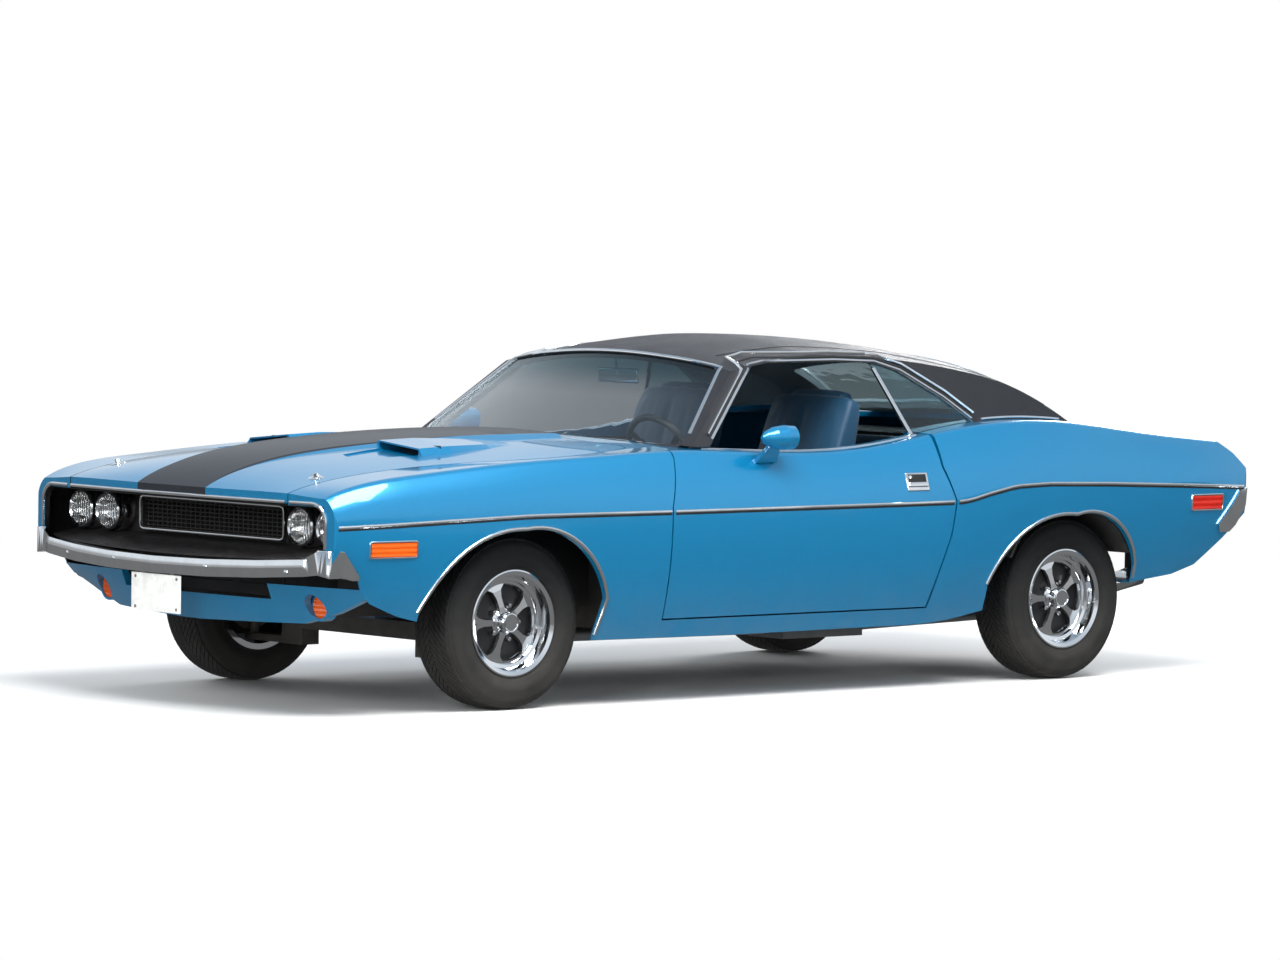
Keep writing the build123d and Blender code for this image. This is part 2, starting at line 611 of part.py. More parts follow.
def windshield_prism(grow):
    """Cutter for the windshield opening, square to the glass."""
    run, rise = WINDSHIELD_BASE_X - WINDSHIELD_TOP_X, WINDSHIELD_TOP_Z - WINDSHIELD_BASE_Z
    outwards = Vector(rise, 0, run).normalized()
    points = []
    for y, z in WINDSHIELD_OUTLINE:
        y += grow * (y > 0) - grow * (y < 0)
        z += grow if z > 1100 else -grow
        x = WINDSHIELD_BASE_X - (z - WINDSHIELD_BASE_Z) * run / rise
        points.append(Vector(x, y, z) + outwards * 60)
    face = polygon_face([tuple(point) for point in points])
    corners = [corner for corner in face.vertices() if corner.Z > 1200 or abs(corner.Y) > 700]
    face = face.fillet_2d(36, [corner for corner in corners if abs(corner.Y) > 500])
    return extruded(face, outwards * -240)


def backlight_prism(grow):
    """Cutter for the rear glass opening."""
    outline = []
    for x, y in BACKLIGHT_OUTLINE:
        outline.append((x + (grow if x > R else -grow), y + grow * (y > 0) - grow * (y < 0)))
    return plan_prism(outline, (940, 1400), BACKLIGHT_RADIUS)


def make_roof():
    """Roof, windshield pillars and rear sail panels as one shell."""
    shell = GREENHOUSE - CABIN_TOP
    shell = shell - windshield_prism(0) - backlight_prism(0)
    shell = shell - side_prism(SIDE_OUTLINE, (-1000, 1000))
    door_room = side_prism(door_outline(PANEL_GAP), (DOOR_INNER_Y - PANEL_GAP, 1100))
    clear = OUTER.moved(Pos(0, 0, PANEL_GAP + 2)) & door_room
    roof = shell - OUTER - clear - mirrored(clear)
    pieces = sorted(roof.solids(), key=lambda solid: solid.volume)
    return pieces[-1]


def make_windshield():
    """Curved front glass, set in its opening."""
    glass = (GLASS_OUTER - GLASS_INNER) & windshield_prism(-SEAT)
    return largest(glass - OUTER.moved(Pos(0, 0, SEAT)))


def make_rear_window():
    """Curved rear glass, set in its opening."""
    glass = (GLASS_OUTER - GLASS_INNER) & backlight_prism(-SEAT)
    return largest(glass - OUTER.moved(Pos(0, 0, SEAT)))


def make_quarter_glass():
    """Left quarter glass, behind the door glass's rear edge."""
    (x_low, z_low), (x_high, z_high) = DIVIDER_LINE
    slope = (x_high - x_low) / (z_high - z_low)
    behind = side_prism([(x_low + slope * (900 - z_low), 900), (x_low + slope * (1300 - z_low), 1300),
                         (R + 300, 1300), (R + 300, 900)], (300, 1000))
    opening = side_prism([(x + SEAT * 2, z - SEAT * 2) for x, z in SIDE_OUTLINE], (300, 1000))
    glass = (GLASS_OUTER - GLASS_INNER) & opening & behind
    return largest(glass - OUTER.moved(Pos(0, 0, SEAT)))


def largest(shape):
    """The biggest solid of a shape."""
    return sorted(shape.solids(), key=lambda solid: solid.volume)[-1]


def band_face(z, centre_x, end_x, half, depth):
    """Plan of a bowed band across the car at one height, the depth towards the car's middle."""
    arc = Edge.make_three_point_arc
    inwards = -depth if centre_x > 0 else depth
    front = arc(Vector(end_x, half, z), Vector(centre_x, 0, z), Vector(end_x, -half, z))
    back = arc(Vector(end_x + inwards, -half, z), Vector(centre_x + inwards, 0, z),
               Vector(end_x + inwards, half, z))
    edges = [front, Edge.make_line(front @ 1, back @ 0), back, Edge.make_line(back @ 1, front @ 0)]
    return Face(Wire(edges))


def plan_arc_band(nose_x, end_x, half, depth, z_range):
    """Band across the car, bowed in plan and upright."""
    face = band_face(z_range[0], nose_x, end_x, half, depth)
    return extruded(face, Vector(0, 0, z_range[1] - z_range[0]))


def make_front_bumper():
    """Slim blade across the nose with flared wings round the fenders, on two irons."""
    blade = plan_arc_band(LENGTH / 2, BUMPER_SIDE_X, BUMPER_HALF, BUMPER_DEPTH, (450, 640))
    view = end_prism(BUMPER_TOP + BUMPER_BOTTOM, (F + 700, F + 1100))
    blade = blade & (view + mirrored(view))
    wing = plan_prism([(F + ahead, y) for ahead, y in WING_PLAN], (450, 640))
    wing = wing & side_prism([(F + ahead, z) for ahead, z in WING_SIDE], (700, 1000))
    iron = box((F + 640 + SEAT, F + 925), (398, 452), (488, 512))
    bumper = blade + wing + mirrored(wing) + iron + mirrored(iron)
    return bumper - OUTER.moved(Pos(SEAT, 0, 0)) - OUTER


def make_rear_bumper():
    """Slanted blade across the tail with ends that lie on the quarters, on two irons."""
    blade = loft([band_face(z, R + centre, R + end, REAR_BUMPER_HALF, REAR_BUMPER_DEPTH)
                  for z, centre, end in REAR_BUMPER_EDGES], ruled=True)
    view = side_prism([(R + ahead, z) for ahead, z in REAR_BUMPER_SIDE], (800, 1000))
    end = view & OUTER.moved(Pos(0, REAR_BUMPER_PROUD, 0))
    iron = box((R - 980, R - 850), (380, 440), (600, 626))
    bumper = blade + end + mirrored(end) + iron + mirrored(iron)
    for step in (Pos(0, SEAT, 0), Pos(0, -SEAT, 0), Pos(-SEAT, 0, 0)):
        bumper = bumper - OUTER.moved(step)
    return bumper


def make_front_valance(fender):
    """Panel that tucks in below the front bumper, with its wide air slot and lamp cups."""
    panel = loft([band_face(z, F + centre, F + end, VALANCE_HALF, VALANCE_DEPTH)
                  for z, centre, end in VALANCE_EDGES], ruled=True)
    outline = list(VALANCE_OUTLINE) + [(-y, z) for y, z in reversed(VALANCE_OUTLINE) if y]
    panel = panel & end_prism(outline, (F + 500, F + 900))
    panel = panel - box((F + 500, F + 1000), (-441, 441), (405, 500))
    cup_x = F + 700
    cup = rod((cup_x - 22, SIGNAL_Y, SIGNAL_Z), (cup_x + 20, SIGNAL_Y, SIGNAL_Z), SIGNAL_RADIUS + 10)
    room = rod((cup_x, SIGNAL_Y, SIGNAL_Z), (cup_x + 200, SIGNAL_Y, SIGNAL_Z), SIGNAL_RADIUS + SEAT)
    panel = panel + cup + mirrored(cup) - room - mirrored(room)
    beyond_skin = box((F + 500, F + 900), (860, 1000), (300, 600)) - OUTER
    return largest(panel - fender - mirrored(fender) - beyond_skin - mirrored(beyond_skin))


def lamp_recess(grow):
    """Full-width tail lamp opening, grown by the given gap."""
    return box((TAIL_X - 60, TAIL_X + 160), (-TAIL_LAMP_HALF - grow, TAIL_LAMP_HALF + grow),
               (TAIL_LAMP_LOW - grow, TAIL_LAMP_HIGH + grow))


def make_tail_panel():
    """Skin of the tail between the quarters, below the lid."""
    half = LID_HALF_WIDTH + PANEL_GAP - SEAT
    panel = SHELL & box((TAIL_X - 60, TAIL_X + 230), (-half, half), (380, LID_LIP_Z - PANEL_GAP))
    stop_x, stop_y = (TAIL_X, TAIL_X + 100), (540, 580)
    stop_z = (TAIL_LAMP_HIGH + 4, LID_LIP_Z - PANEL_GAP)
    foot = OUTER & box(stop_x, stop_y, stop_z)
    stop = foot + (TRIM & box(stop_x, stop_y, (stop_z[0], LID_LIP_Z + 100)))
    return panel - lamp_recess(SEAT) + stop + mirrored(stop)


def make_grille():
    """Recessed mesh in a frame, with the dark panel that carries the lamps."""
    carrier_x = HEADLAMP_X - 78
    back, front = GRILLE_X - 13, GRILLE_X + 12
    half, low, high = GRILLE_HALF, GRILLE_LOW, GRILLE_HIGH
    plate = front_opening(SEAT, (carrier_x - 12, carrier_x))
    frame = box((back, front), (-half, half), (low, high))
    frame = frame - box((back - 1, front + 1), (-half + 9, half - 9), (low + 9, high - 9))
    count = int((half - 10) / GRILLE_PITCH_Y)
    bars = [box((back, GRILLE_X), (y - 2, y + 2), (low + 4, high - 4))
            for y in [step * GRILLE_PITCH_Y for step in range(-count, count + 1)]]
    rows = [box((back, GRILLE_X), (-half + 4, half - 4), (z - 2, z + 2))
            for z in [low + GRILLE_PITCH_Z * step for step in range(1, 8)]]
    wide = GRILLE_OPENING_HALF - SEAT
    top_tray = box((carrier_x - 2, NOSE_X), (-wide, wide),
                   (GRILLE_OPENING_HIGH - GRILLE_TRAY, GRILLE_OPENING_HIGH - SEAT)) & TRIM
    apron = side_prism([(carrier_x - 2, 594), (carrier_x - 2, 600), (LENGTH / 2, 549), (LENGTH / 2, 543)],
                       (-wide, wide))
    apron = apron & plan_arc_band(LENGTH / 2 - BUMPER_DEPTH - SEAT, BUMPER_SIDE_X - BUMPER_DEPTH - SEAT,
                                  BUMPER_HALF, 340, (500, 640))
    ties = [box((carrier_x - 2, GRILLE_X), (side * half - 6, side * half + 6), (low - 8, high + 8))
            for side in (1, -1)]
    return plate + frame + bars + rows + (top_tray & front_opening(SEAT)) + apron + ties


def make_headlamps():
    """Four round lamps, each a cup with a domed lens."""
    back, front = HEADLAMP_X - 78 + SEAT, HEADLAMP_X
    lens = HEADLAMP_RADIUS - 7
    crown = front + 9
    profile = [
        Edge.make_line(Vector(back, 0, 0), Vector(back, HEADLAMP_RADIUS, 0)),
        Edge.make_line(Vector(back, HEADLAMP_RADIUS, 0), Vector(front, HEADLAMP_RADIUS, 0)),
        Edge.make_line(Vector(front, HEADLAMP_RADIUS, 0), Vector(front, lens, 0)),
        Edge.make_tangent_arc(Vector(crown, 0, 0), Vector(0, 1, 0), Vector(front, lens, 0)),
        Edge.make_line(Vector(crown, 0, 0), Vector(back, 0, 0)),
    ]
    lamp = revolve(Face(Wire(profile)), Axis.X)
    lamps = [Pos(0, y, HEADLAMP_Z) * lamp for y in (HEADLAMP_INNER_Y, HEADLAMP_OUTER_Y)]
    return both(Compound([solid for lamp in lamps for solid in lamp.solids()]))


def side_lamp(x_range, z_range):
    """Marker lamp let into the left side, standing a little proud."""
    block = box(x_range, (800, 1000), z_range)
    return (OUTER.moved(Pos(0, 5, 0)) & block) - OUTER.moved(Pos(0, SEAT, 0))


def make_amber_lamps():
    """Front side markers and the turn signals in the valance's cups."""
    marker = side_lamp((F + 524, F + 716), (580, 628))
    signal = rod((F + 700 + SEAT, SIGNAL_Y, SIGNAL_Z), (F + 716, SIGNAL_Y, SIGNAL_Z), SIGNAL_RADIUS)
    return Compound(list(both(marker).solids()) + list(both(signal).solids()))


def make_red_lamps():
    """Rear side markers and the full-width tail lamp."""
    marker = side_lamp((R - 800, R - 625), (657, 709))
    lamp = box((TAIL_X + 30, TAIL_X + 80), (-TAIL_LAMP_HALF, TAIL_LAMP_HALF),
               (TAIL_LAMP_LOW, TAIL_LAMP_HIGH))
    lamp = lamp & OUTER.moved(Pos(TAIL_LAMP_DEPTH, 0, 0))
    return Compound(list(both(marker).solids()) + [largest(lamp)])


def make_mirror():
    """Left door mirror: a bullet-shaped head on its tapered foot."""
    outline = [(0, 0), (0, MIRROR_RADIUS - 3), (MIRROR_LENGTH * 0.3, MIRROR_RADIUS),
               (MIRROR_LENGTH * 0.62, MIRROR_RADIUS * 0.86), (MIRROR_LENGTH * 0.86, MIRROR_RADIUS * 0.55),
               (MIRROR_LENGTH, MIRROR_RADIUS * 0.16), (MIRROR_LENGTH, 0)]
    head = Pos(MIRROR_X, MIRROR_Y, MIRROR_Z) * revolve(polygon_face([(x, y, 0) for x, y in outline]),
                                                       Axis.X)
    feet = []
    for z, x_range, y_range in ((880, (38, 138), (868, 900)), (MIRROR_Z - 30, (62, 112), (926, 950))):
        corners = [(x_range[0], y_range[0]), (x_range[1], y_range[0]), (x_range[1], y_range[1]),
                   (x_range[0], y_range[1])]
        feet.append(polygon_face([(MIRROR_X + x, y, z) for x, y in corners]))
    foot = loft(feet, ruled=True)
    return largest((head + foot) - OUTER.moved(Pos(0, 0, SEAT)) - OUTER)


def make_floor_pan():
    """Floor, tunnel, firewall, kick-up, rear floor and wheelhouses."""
    wall = FLOOR_WALL
    half = DOOR_INNER_Y - 60 - SEAT
    floor = box((KICK_UP_X - wall, F - 690), (-half, half), (FLOOR_Z - wall, FLOOR_Z))
    tunnel = end_prism([(-TUNNEL_BASE_HALF, FLOOR_Z), (-TUNNEL_TOP_HALF, TUNNEL_Z),
                        (TUNNEL_TOP_HALF, TUNNEL_Z), (TUNNEL_BASE_HALF, FLOOR_Z)],
                       (KICK_UP_X, F - 640))
    room = [(-TUNNEL_BASE_HALF + wall, FLOOR_Z - 60), (-TUNNEL_BASE_HALF + wall, FLOOR_Z),
            (-TUNNEL_TOP_HALF + wall, TUNNEL_Z - wall), (TUNNEL_TOP_HALF - wall, TUNNEL_Z - wall),
            (TUNNEL_BASE_HALF - wall, FLOOR_Z), (TUNNEL_BASE_HALF - wall, FLOOR_Z - 60)]
    tunnel_room = end_prism(room, (KICK_UP_X - 2 * wall, F - 600))
    firewall = box((F - 700, F - 688), (-DOOR_INNER_Y + 75, DOOR_INNER_Y - 75),
                   (FLOOR_Z - wall, 940)) & TRIM
    steps = box((KICK_UP_X - wall, KICK_UP_X), (-FLOOR_HALF, FLOOR_HALF), (FLOOR_Z - wall, KICK_UP_Z))
    steps += box((TRUNK_FLOOR_X - wall, KICK_UP_X), (-FLOOR_HALF, FLOOR_HALF),
                 (KICK_UP_Z - wall, KICK_UP_Z))
    steps += box((TRUNK_FLOOR_X - wall, TRUNK_FLOOR_X), (-FLOOR_HALF, FLOOR_HALF),
                 (KICK_UP_Z - wall, TRUNK_FLOOR_Z))
    rear_floor = box((TAIL_X, TRUNK_FLOOR_X), (-FLOOR_HALF, FLOOR_HALF),
                     (TRUNK_FLOOR_Z - wall, TRUNK_FLOOR_Z)) & TRIM
    seat_wall = box((R + 200, R + 200 + wall), (-FLOOR_HALF, FLOOR_HALF), (TRUNK_FLOOR_Z, 940))
    shelf = box((R - 240, R + 200 + wall), (-FLOOR_HALF, FLOOR_HALF), (928, 940))
    centre = TYRE_RADIUS + 10
    outer_r = TYRE_RADIUS + 56
    tub = rod((R, 628, centre), (R, FLOOR_HALF, centre), outer_r)
    tub = tub + (rod((R, 628, centre), (R, 905, centre), outer_r)
                 - rod((R, 620, centre), (R, 950, centre), outer_r - 10))
    tub = (tub & box((R - 400, R + 400), (600, 1000), (TRUNK_FLOOR_Z - wall, 800))) & TRIM
    floor = floor + tunnel + firewall + steps - tunnel_room
    return floor + rear_floor + seat_wall + shelf + tub + mirrored(tub)


def make_inner_fenders():
    """Engine bay sides, frame rails and the radiator support."""
    x_range = (F - 688 + SEAT, F + 640)
    rail = box(x_range, (395, 465), (330, 440)) - box((F - 66, F + 66), (390, 470), (320, 336))
    apron = box(x_range, (455, 465), (440, 900))
    top = box(x_range, (455, 700), (840, 852))
    side = (rail + apron + top) & TRIM
    radiator = box((F + 600, F + 640), (-640, 640), (400, 800)) - box(
        (F + 590, F + 650), (-330, 330), (440, 760))
    return side + mirrored(side) + (radiator & TRIM)


def make_engine():
    """Engine and gearbox as one plain block."""
    block = box((F - 560, F + 160), (-250, 250), (300, 800))
    gearbox = box((F - 1250, F - 560), (-75, 75), (220, 375))
    return block + gearbox


def make_front_suspension():
    """Crossmember with lower and upper arms."""
    beam = box((F - 60, F + 60), (-390, 390), (225, 290))
    legs = box((F - 60, F + 60), (395, 465), (290, 336 - SEAT))
    low_z = TYRE_RADIUS - KINGPIN_HALF
    high_z = TYRE_RADIUS + KINGPIN_HALF
    lower = box((F - 28, F + 28), (380, KINGPIN_Y + 20), (low_z - 26, low_z - SEAT))
    lower_post = box((F - 40, F + 40), (340, 465), (low_z - 26, 292))
    upper = box((F - 28, F + 28), (465 + SEAT, KINGPIN_Y + 20), (high_z + SEAT, high_z + 22))
    side = legs + lower + lower_post
    return Compound([(beam + side + mirrored(side)).solid()] + list(both(upper).solids()))


def make_knuckle():
    """Left knuckle: kingpin, brake drum and spindle."""
    y_mid = FRONT_TRACK / 2
    mount = y_mid + WHEEL_MOUNT_OUT - SEAT
    pin = rod((F, KINGPIN_Y, TYRE_RADIUS - KINGPIN_HALF), (F, KINGPIN_Y, TYRE_RADIUS + KINGPIN_HALF),
              18)
    drum = rod((F, KINGPIN_Y + 17, TYRE_RADIUS), (F, mount, TYRE_RADIUS), DRUM_RADIUS)
    web = rod((F, KINGPIN_Y, TYRE_RADIUS), (F, KINGPIN_Y + 20, TYRE_RADIUS), 45)
    spindle = rod((F, mount - 5, TYRE_RADIUS), (F, mount + 26, TYRE_RADIUS), PILOT_RADIUS)
    return pin + drum + web + spindle


def make_rear_axle():
    """Rigid axle with its final drive and drums."""
    mount = REAR_TRACK / 2 + WHEEL_MOUNT_OUT - SEAT
    axle = rod((R, -mount + 60, TYRE_RADIUS), (R, mount - 60, TYRE_RADIUS), 38)
    bulb = Pos(R, 0, TYRE_RADIUS) * Sphere(118)
    nose = rod((R, 0, TYRE_RADIUS), (R + 210, 0, TYRE_RADIUS), 55)
    shaft = rod((R + 200, 0, TYRE_RADIUS), (F - 1250 - SEAT, 0, 310), 38)
    axle = axle + bulb + nose + shaft
    for side in (1, -1):
        drum = rod((R, side * (mount - 62), TYRE_RADIUS), (R, side * mount, TYRE_RADIUS), 125)
        pilot = rod((R, side * (mount - 5), TYRE_RADIUS), (R, side * (mount + 26), TYRE_RADIUS),
                    PILOT_RADIUS)
        axle = axle + drum + pilot
    return axle


def make_leaf_springs():
    """Left and right leaf packs under the axle."""
    thick, y_range = 28, (520, 580)
    under = TYRE_RADIUS - 38 - SEAT
    arc = Edge.make_three_point_arc
    y = y_range[0]
    front, back = Vector(R + 560, y, under + 60), Vector(R - 700, y, under + 90)
    top = arc(front, Vector(R, y, under), back)
    low = arc(back - Vector(0, 0, thick), Vector(R, y, under - thick), front - Vector(0, 0, thick))
    edges = [top, Edge.make_line(top @ 1, low @ 0), low, Edge.make_line(low @ 1, top @ 0)]
    leaf = extruded(Face(Wire(edges)), Vector(0, y_range[1] - y_range[0], 0))
    hanger = box((R - 730, R - 690), y_range, (under + 70, 488 - SEAT))
    eye = box((R + 540, R + 600), y_range, (under + 34, KICK_UP_Z - FLOOR_WALL - SEAT))
    return both(leaf + hanger + eye)


def make_exhaust():
    """Twin pipes with silencers and tail pipes."""
    pipes = []
    for side in (1, -1):
        front = rod((F - 500, side * 190, 205), (R + 900, side * 300, 205), 27)
        box_y = (side * 300 - 100, side * 300 + 100)
        silencer = box((R + 640, R + 1060), box_y, (165, FLOOR_Z - FLOOR_WALL - SEAT))
        tail = rod((R - 300, side * 420, 240), (TAIL_X + 150, side * 420, 345), 27)
        link = rod((R + 660, side * 330, 205), (R - 300, side * 420, 240), 27)
        joint = Pos(R - 300, side * 420, 240) * Sphere(27)
        pipes.append((front + silencer + link + tail + joint).solid())
    return Compound(pipes)


def make_fuel_tank():
    """Flat tank under the rear floor."""
    tank = box((R - 780, R - 330), (-320, 320), (280, 488 - SEAT))
    return fillet(tank.edges().filter_by(Axis.Z), 60)


def make_dashboard(cowl):
    """Padded dash with its hooded binnacle."""
    outline = [(F - 775, 780), (F - 780, 925), (F - 900, 935), (F - 985, 925), (F - 1015, 870),
               (F - 985, 760), (F - 880, 700), (F - 775, 700)]
    dash = side_prism(outline, (-DOOR_INNER_Y + 80, DOOR_INNER_Y - 80), 8)
    return largest(dash - cowl - OUTER.moved(Pos(0, 0, SKIN)) + (dash & TRIM))


def make_steering_wheel(dashboard):
    """Three-spoke wheel on its column, ahead of the driver."""
    centre = Vector(F - 1140, 370, 862)
    axis = Vector(-0.9, 0, 0.43).normalized()
    plane = Plane(origin=centre, z_dir=axis)
    rim = plane * Torus(185, 13)
    hub = plane * Cylinder(36, 30)
    wheel = rim + hub
    for angle in (0, 130, 230):
        spoke = plane * Rot(0, 0, angle) * Pos(100, 0, 0) * Box(185, 26, 7)
        wheel = wheel + spoke
    column_end = centre - axis * 175
    return largest(wheel + rod(tuple(centre), tuple(column_end), 24) - dashboard)


def make_bucket_seat():
    """Left high-back bucket seat."""
    cushion = box((F - 1760, F - 1240), (140, 640), (FLOOR_Z + 60, FLOOR_Z + 245))
    cushion = fillet(cushion.edges(), 45)
    back = side_prism([(F - 1650, 440), (F - 1780, 440), (F - 1965, 1105), (F - 1880, 1115)],
                      (155, 625))
    back = fillet(back.edges().filter_by(Axis.Y, reverse=True), 30)
    base = box((F - 1700, F - 1300), (200, 540), (FLOOR_Z + SEAT, FLOOR_Z + 90))
    return cushion + back + base


def make_rear_seat():
    """Rear bench with its backrest."""
    cushion = box((TRUNK_FLOOR_X + SEAT, R + 800), (-580, 580), (KICK_UP_Z + SEAT, KICK_UP_Z + 145))
    cushion = fillet(cushion.edges(), 40)
    wall_x = R + 200 + FLOOR_WALL + SEAT
    back = side_prism([(wall_x, TRUNK_FLOOR_Z + SEAT), (R + 450, TRUNK_FLOOR_Z + SEAT),
                       (R + 330, 930), (wall_x, 930)], (-580, 580))
    return Compound(list(cushion.solids()) + list((back - cushion).solids()))


def make_console():
    """Console over the tunnel, with the shift lever."""
    console = box((F - 1760, F - 1000), (-88, 88), (TUNNEL_Z + SEAT, 505))
    lever = rod((F - 1250, 0, 500), (F - 1290, 0, 640), 7) + Pos(F - 1290, 0, 650) * Sphere(24)
    return console + lever


def make_wheel():
    """Left wheel about its own centre, outer face towards positive Y."""
    half = RIM_WIDTH / 2
    rim_profile = [
        (RIM_RADIUS, -half), (RIM_FLANGE_RADIUS, -half), (RIM_FLANGE_RADIUS, -half - RIM_WALL),
        (RIM_RADIUS - RIM_WALL, -half - RIM_WALL), (RIM_RADIUS - RIM_WALL, WHEEL_MOUNT_OUT + 14),
        (RING_RADIUS - 4, WHEEL_FACE_OUT - 8), (RING_RADIUS, WHEEL_FACE_OUT),
        (RING_RADIUS + 8, WHEEL_FACE_OUT), (RING_RADIUS + 12, WHEEL_FACE_OUT + 10),
        (RING_RADIUS + 24, WHEEL_FACE_OUT + 14), (RIM_RADIUS - RIM_WALL, WHEEL_FACE_OUT + 34),
        (RIM_RADIUS - 4, half), (RIM_FLANGE_RADIUS - 5, half + RIM_WALL),
        (RIM_FLANGE_RADIUS, half + RIM_WALL - 2), (RIM_FLANGE_RADIUS, half), (RIM_RADIUS, half)]
    disc_profile = [
        (PILOT_RADIUS + SEAT, WHEEL_MOUNT_OUT), (RIM_RADIUS - RIM_WALL, WHEEL_MOUNT_OUT + 8),
        (RIM_RADIUS - RIM_WALL, WHEEL_MOUNT_OUT + 14), (RING_RADIUS - 10, WHEEL_MOUNT_OUT + 13),
        (LUG_CIRCLE_RADIUS + 14, WHEEL_MOUNT_OUT + 18), (HUB_CAP_RADIUS + 4, WHEEL_FACE_OUT - 4),
        (HUB_CAP_RADIUS, WHEEL_FACE_OUT), (HUB_CAP_RADIUS, HUB_CAP_OUT - 9),
        (HUB_CAP_RADIUS - 8, HUB_CAP_OUT), (0, HUB_CAP_OUT), (0, WHEEL_FACE_OUT - 6),
        (PILOT_RADIUS + SEAT, WHEEL_FACE_OUT - 6)]
    wheel = spun(rim_profile) + spun(disc_profile)
    spoke = side_spoke()
    lug = rod((LUG_CIRCLE_RADIUS, WHEEL_MOUNT_OUT + 12, 0), (LUG_CIRCLE_RADIUS, WHEEL_FACE_OUT - 8, 0),
              LUG_RADIUS)
    for index in range(SPOKES):
        turn = Rot(0, 360 / SPOKES * index, 0)
        wheel = wheel + turn * spoke + turn * Rot(0, 180 / SPOKES, 0) * lug
    return wheel


def side_spoke():
    """One spoke from the hub to the ring, standing along positive X, that widens outwards."""
    outline = [(HUB_CAP_RADIUS + 2, 16), (HUB_CAP_RADIUS + 26, 11), (RING_RADIUS - 46, 12),
               (RING_RADIUS - 20, 20), (RING_RADIUS, 46)]
    outline += [(x, -z) for x, z in reversed(outline)]
    base = WHEEL_MOUNT_OUT + 8
    face = polygon_face([(x, base, z) for x, z in outline])
    flat = extruded(face, Vector(0, WHEEL_FACE_OUT + 10 - base, 0))
    crest = [(HUB_CAP_RADIUS, 0), (HUB_CAP_RADIUS, WHEEL_FACE_OUT + 9),
             (HUB_CAP_RADIUS + 22, WHEEL_FACE_OUT + 8), (RING_RADIUS - 22, WHEEL_FACE_OUT + 2),
             (RING_RADIUS + 1, WHEEL_FACE_OUT - 1), (RING_RADIUS + 1, 0)]
    return flat & extruded(polygon_face([(x, y, -60) for x, y in crest]), Vector(0, 0, 120))


def spun(profile):
    """Solid of revolution about Y from (radius, y) points."""
    face = polygon_face([(r, y, 0) for r, y in profile])
    return revolve(face, Axis.Y)


def make_tyre():
    """Tyre about its own centre."""
    half = TYRE_WIDTH / 2
    bead = RIM_WIDTH / 2 - SEAT
    side = [(RIM_RADIUS + SEAT, bead), (RIM_FLANGE_RADIUS + 3, bead), (TYRE_RADIUS - 72, half),
            (TYRE_RADIUS - 18, half - 9), (TYRE_RADIUS, half - 38)]
    return spun(side + [(r, -y) for r, y in reversed(side)])


fender = make_fender()
cowl = make_cowl()
dashboard = make_dashboard(cowl)
left_wheel = make_wheel()
tyre = make_tyre()
PARTS = {
    "hood": make_hood(),
    "fender_left": fender,
    "quarter_left": make_quarter(),
    "door_left": make_door(),
    "sills": both(make_sill()),
    "trunk_lid": make_trunk_lid(),
    "deck_panel": make_deck_panel(),
    "cowl": cowl,
    "roof": make_roof(),
    "windshield": make_windshield(),
    "rear_glass": Compound([make_rear_window()] + list(both(make_quarter_glass()).solids())),
    "front_bumper": make_front_bumper(),
    "rear_bumper": make_rear_bumper(),
    "front_valance": make_front_valance(fender),
    "tail_panel": make_tail_panel(),
    "grille": make_grille(),
    "headlamps": make_headlamps(),
    "amber_lamps": make_amber_lamps(),
    "red_lamps": make_red_lamps(),
    "mirror_left": make_mirror(),
    "floor_pan": make_floor_pan(),
    "inner_fenders": make_inner_fenders(),
    "engine": make_engine(),
    "front_suspension": make_front_suspension(),
    "knuckle_left": make_knuckle(),
    "rear_axle": make_rear_axle(),
    "leaf_springs": make_leaf_springs(),
    "exhaust": make_exhaust(),
    "fuel_tank": make_fuel_tank(),
    "dashboard": dashboard,
    "steering_wheel": make_steering_wheel(dashboard),
    "seats": Compound(list(both(make_bucket_seat()).solids()) + list(make_rear_seat().solids())),
    "console": make_console(),
    "wheel_front_left": Pos(F, FRONT_TRACK / 2, TYRE_RADIUS) * left_wheel,
    "wheel_rear_left": Pos(R, REAR_TRACK / 2, TYRE_RADIUS) * left_wheel,
    "tyre_front_left": Pos(F, FRONT_TRACK / 2, TYRE_RADIUS) * tyre,
    "tyre_rear_left": Pos(R, REAR_TRACK / 2, TYRE_RADIUS) * tyre,
}
for name in [name for name in PARTS if name.endswith("_left")]:
    PARTS[name.replace("_left", "_right")] = mirrored(PARTS[name])

for name, shape in PARTS.items():
    solids = shape.solids()
    export_step(solids[0] if len(solids) == 1 else Compound(solids), f"parts/{name}.step")
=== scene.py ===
"""Looks of a two-door hardtop muscle car, in metres: X forward, Y to the car's left, Z up."""
import cmath
import json
import math

import bmesh
import bpy
from bpy.props import FloatProperty, FloatVectorProperty, PointerProperty
from mathutils import Matrix, Vector
from mathutils.bvhtree import BVHTree


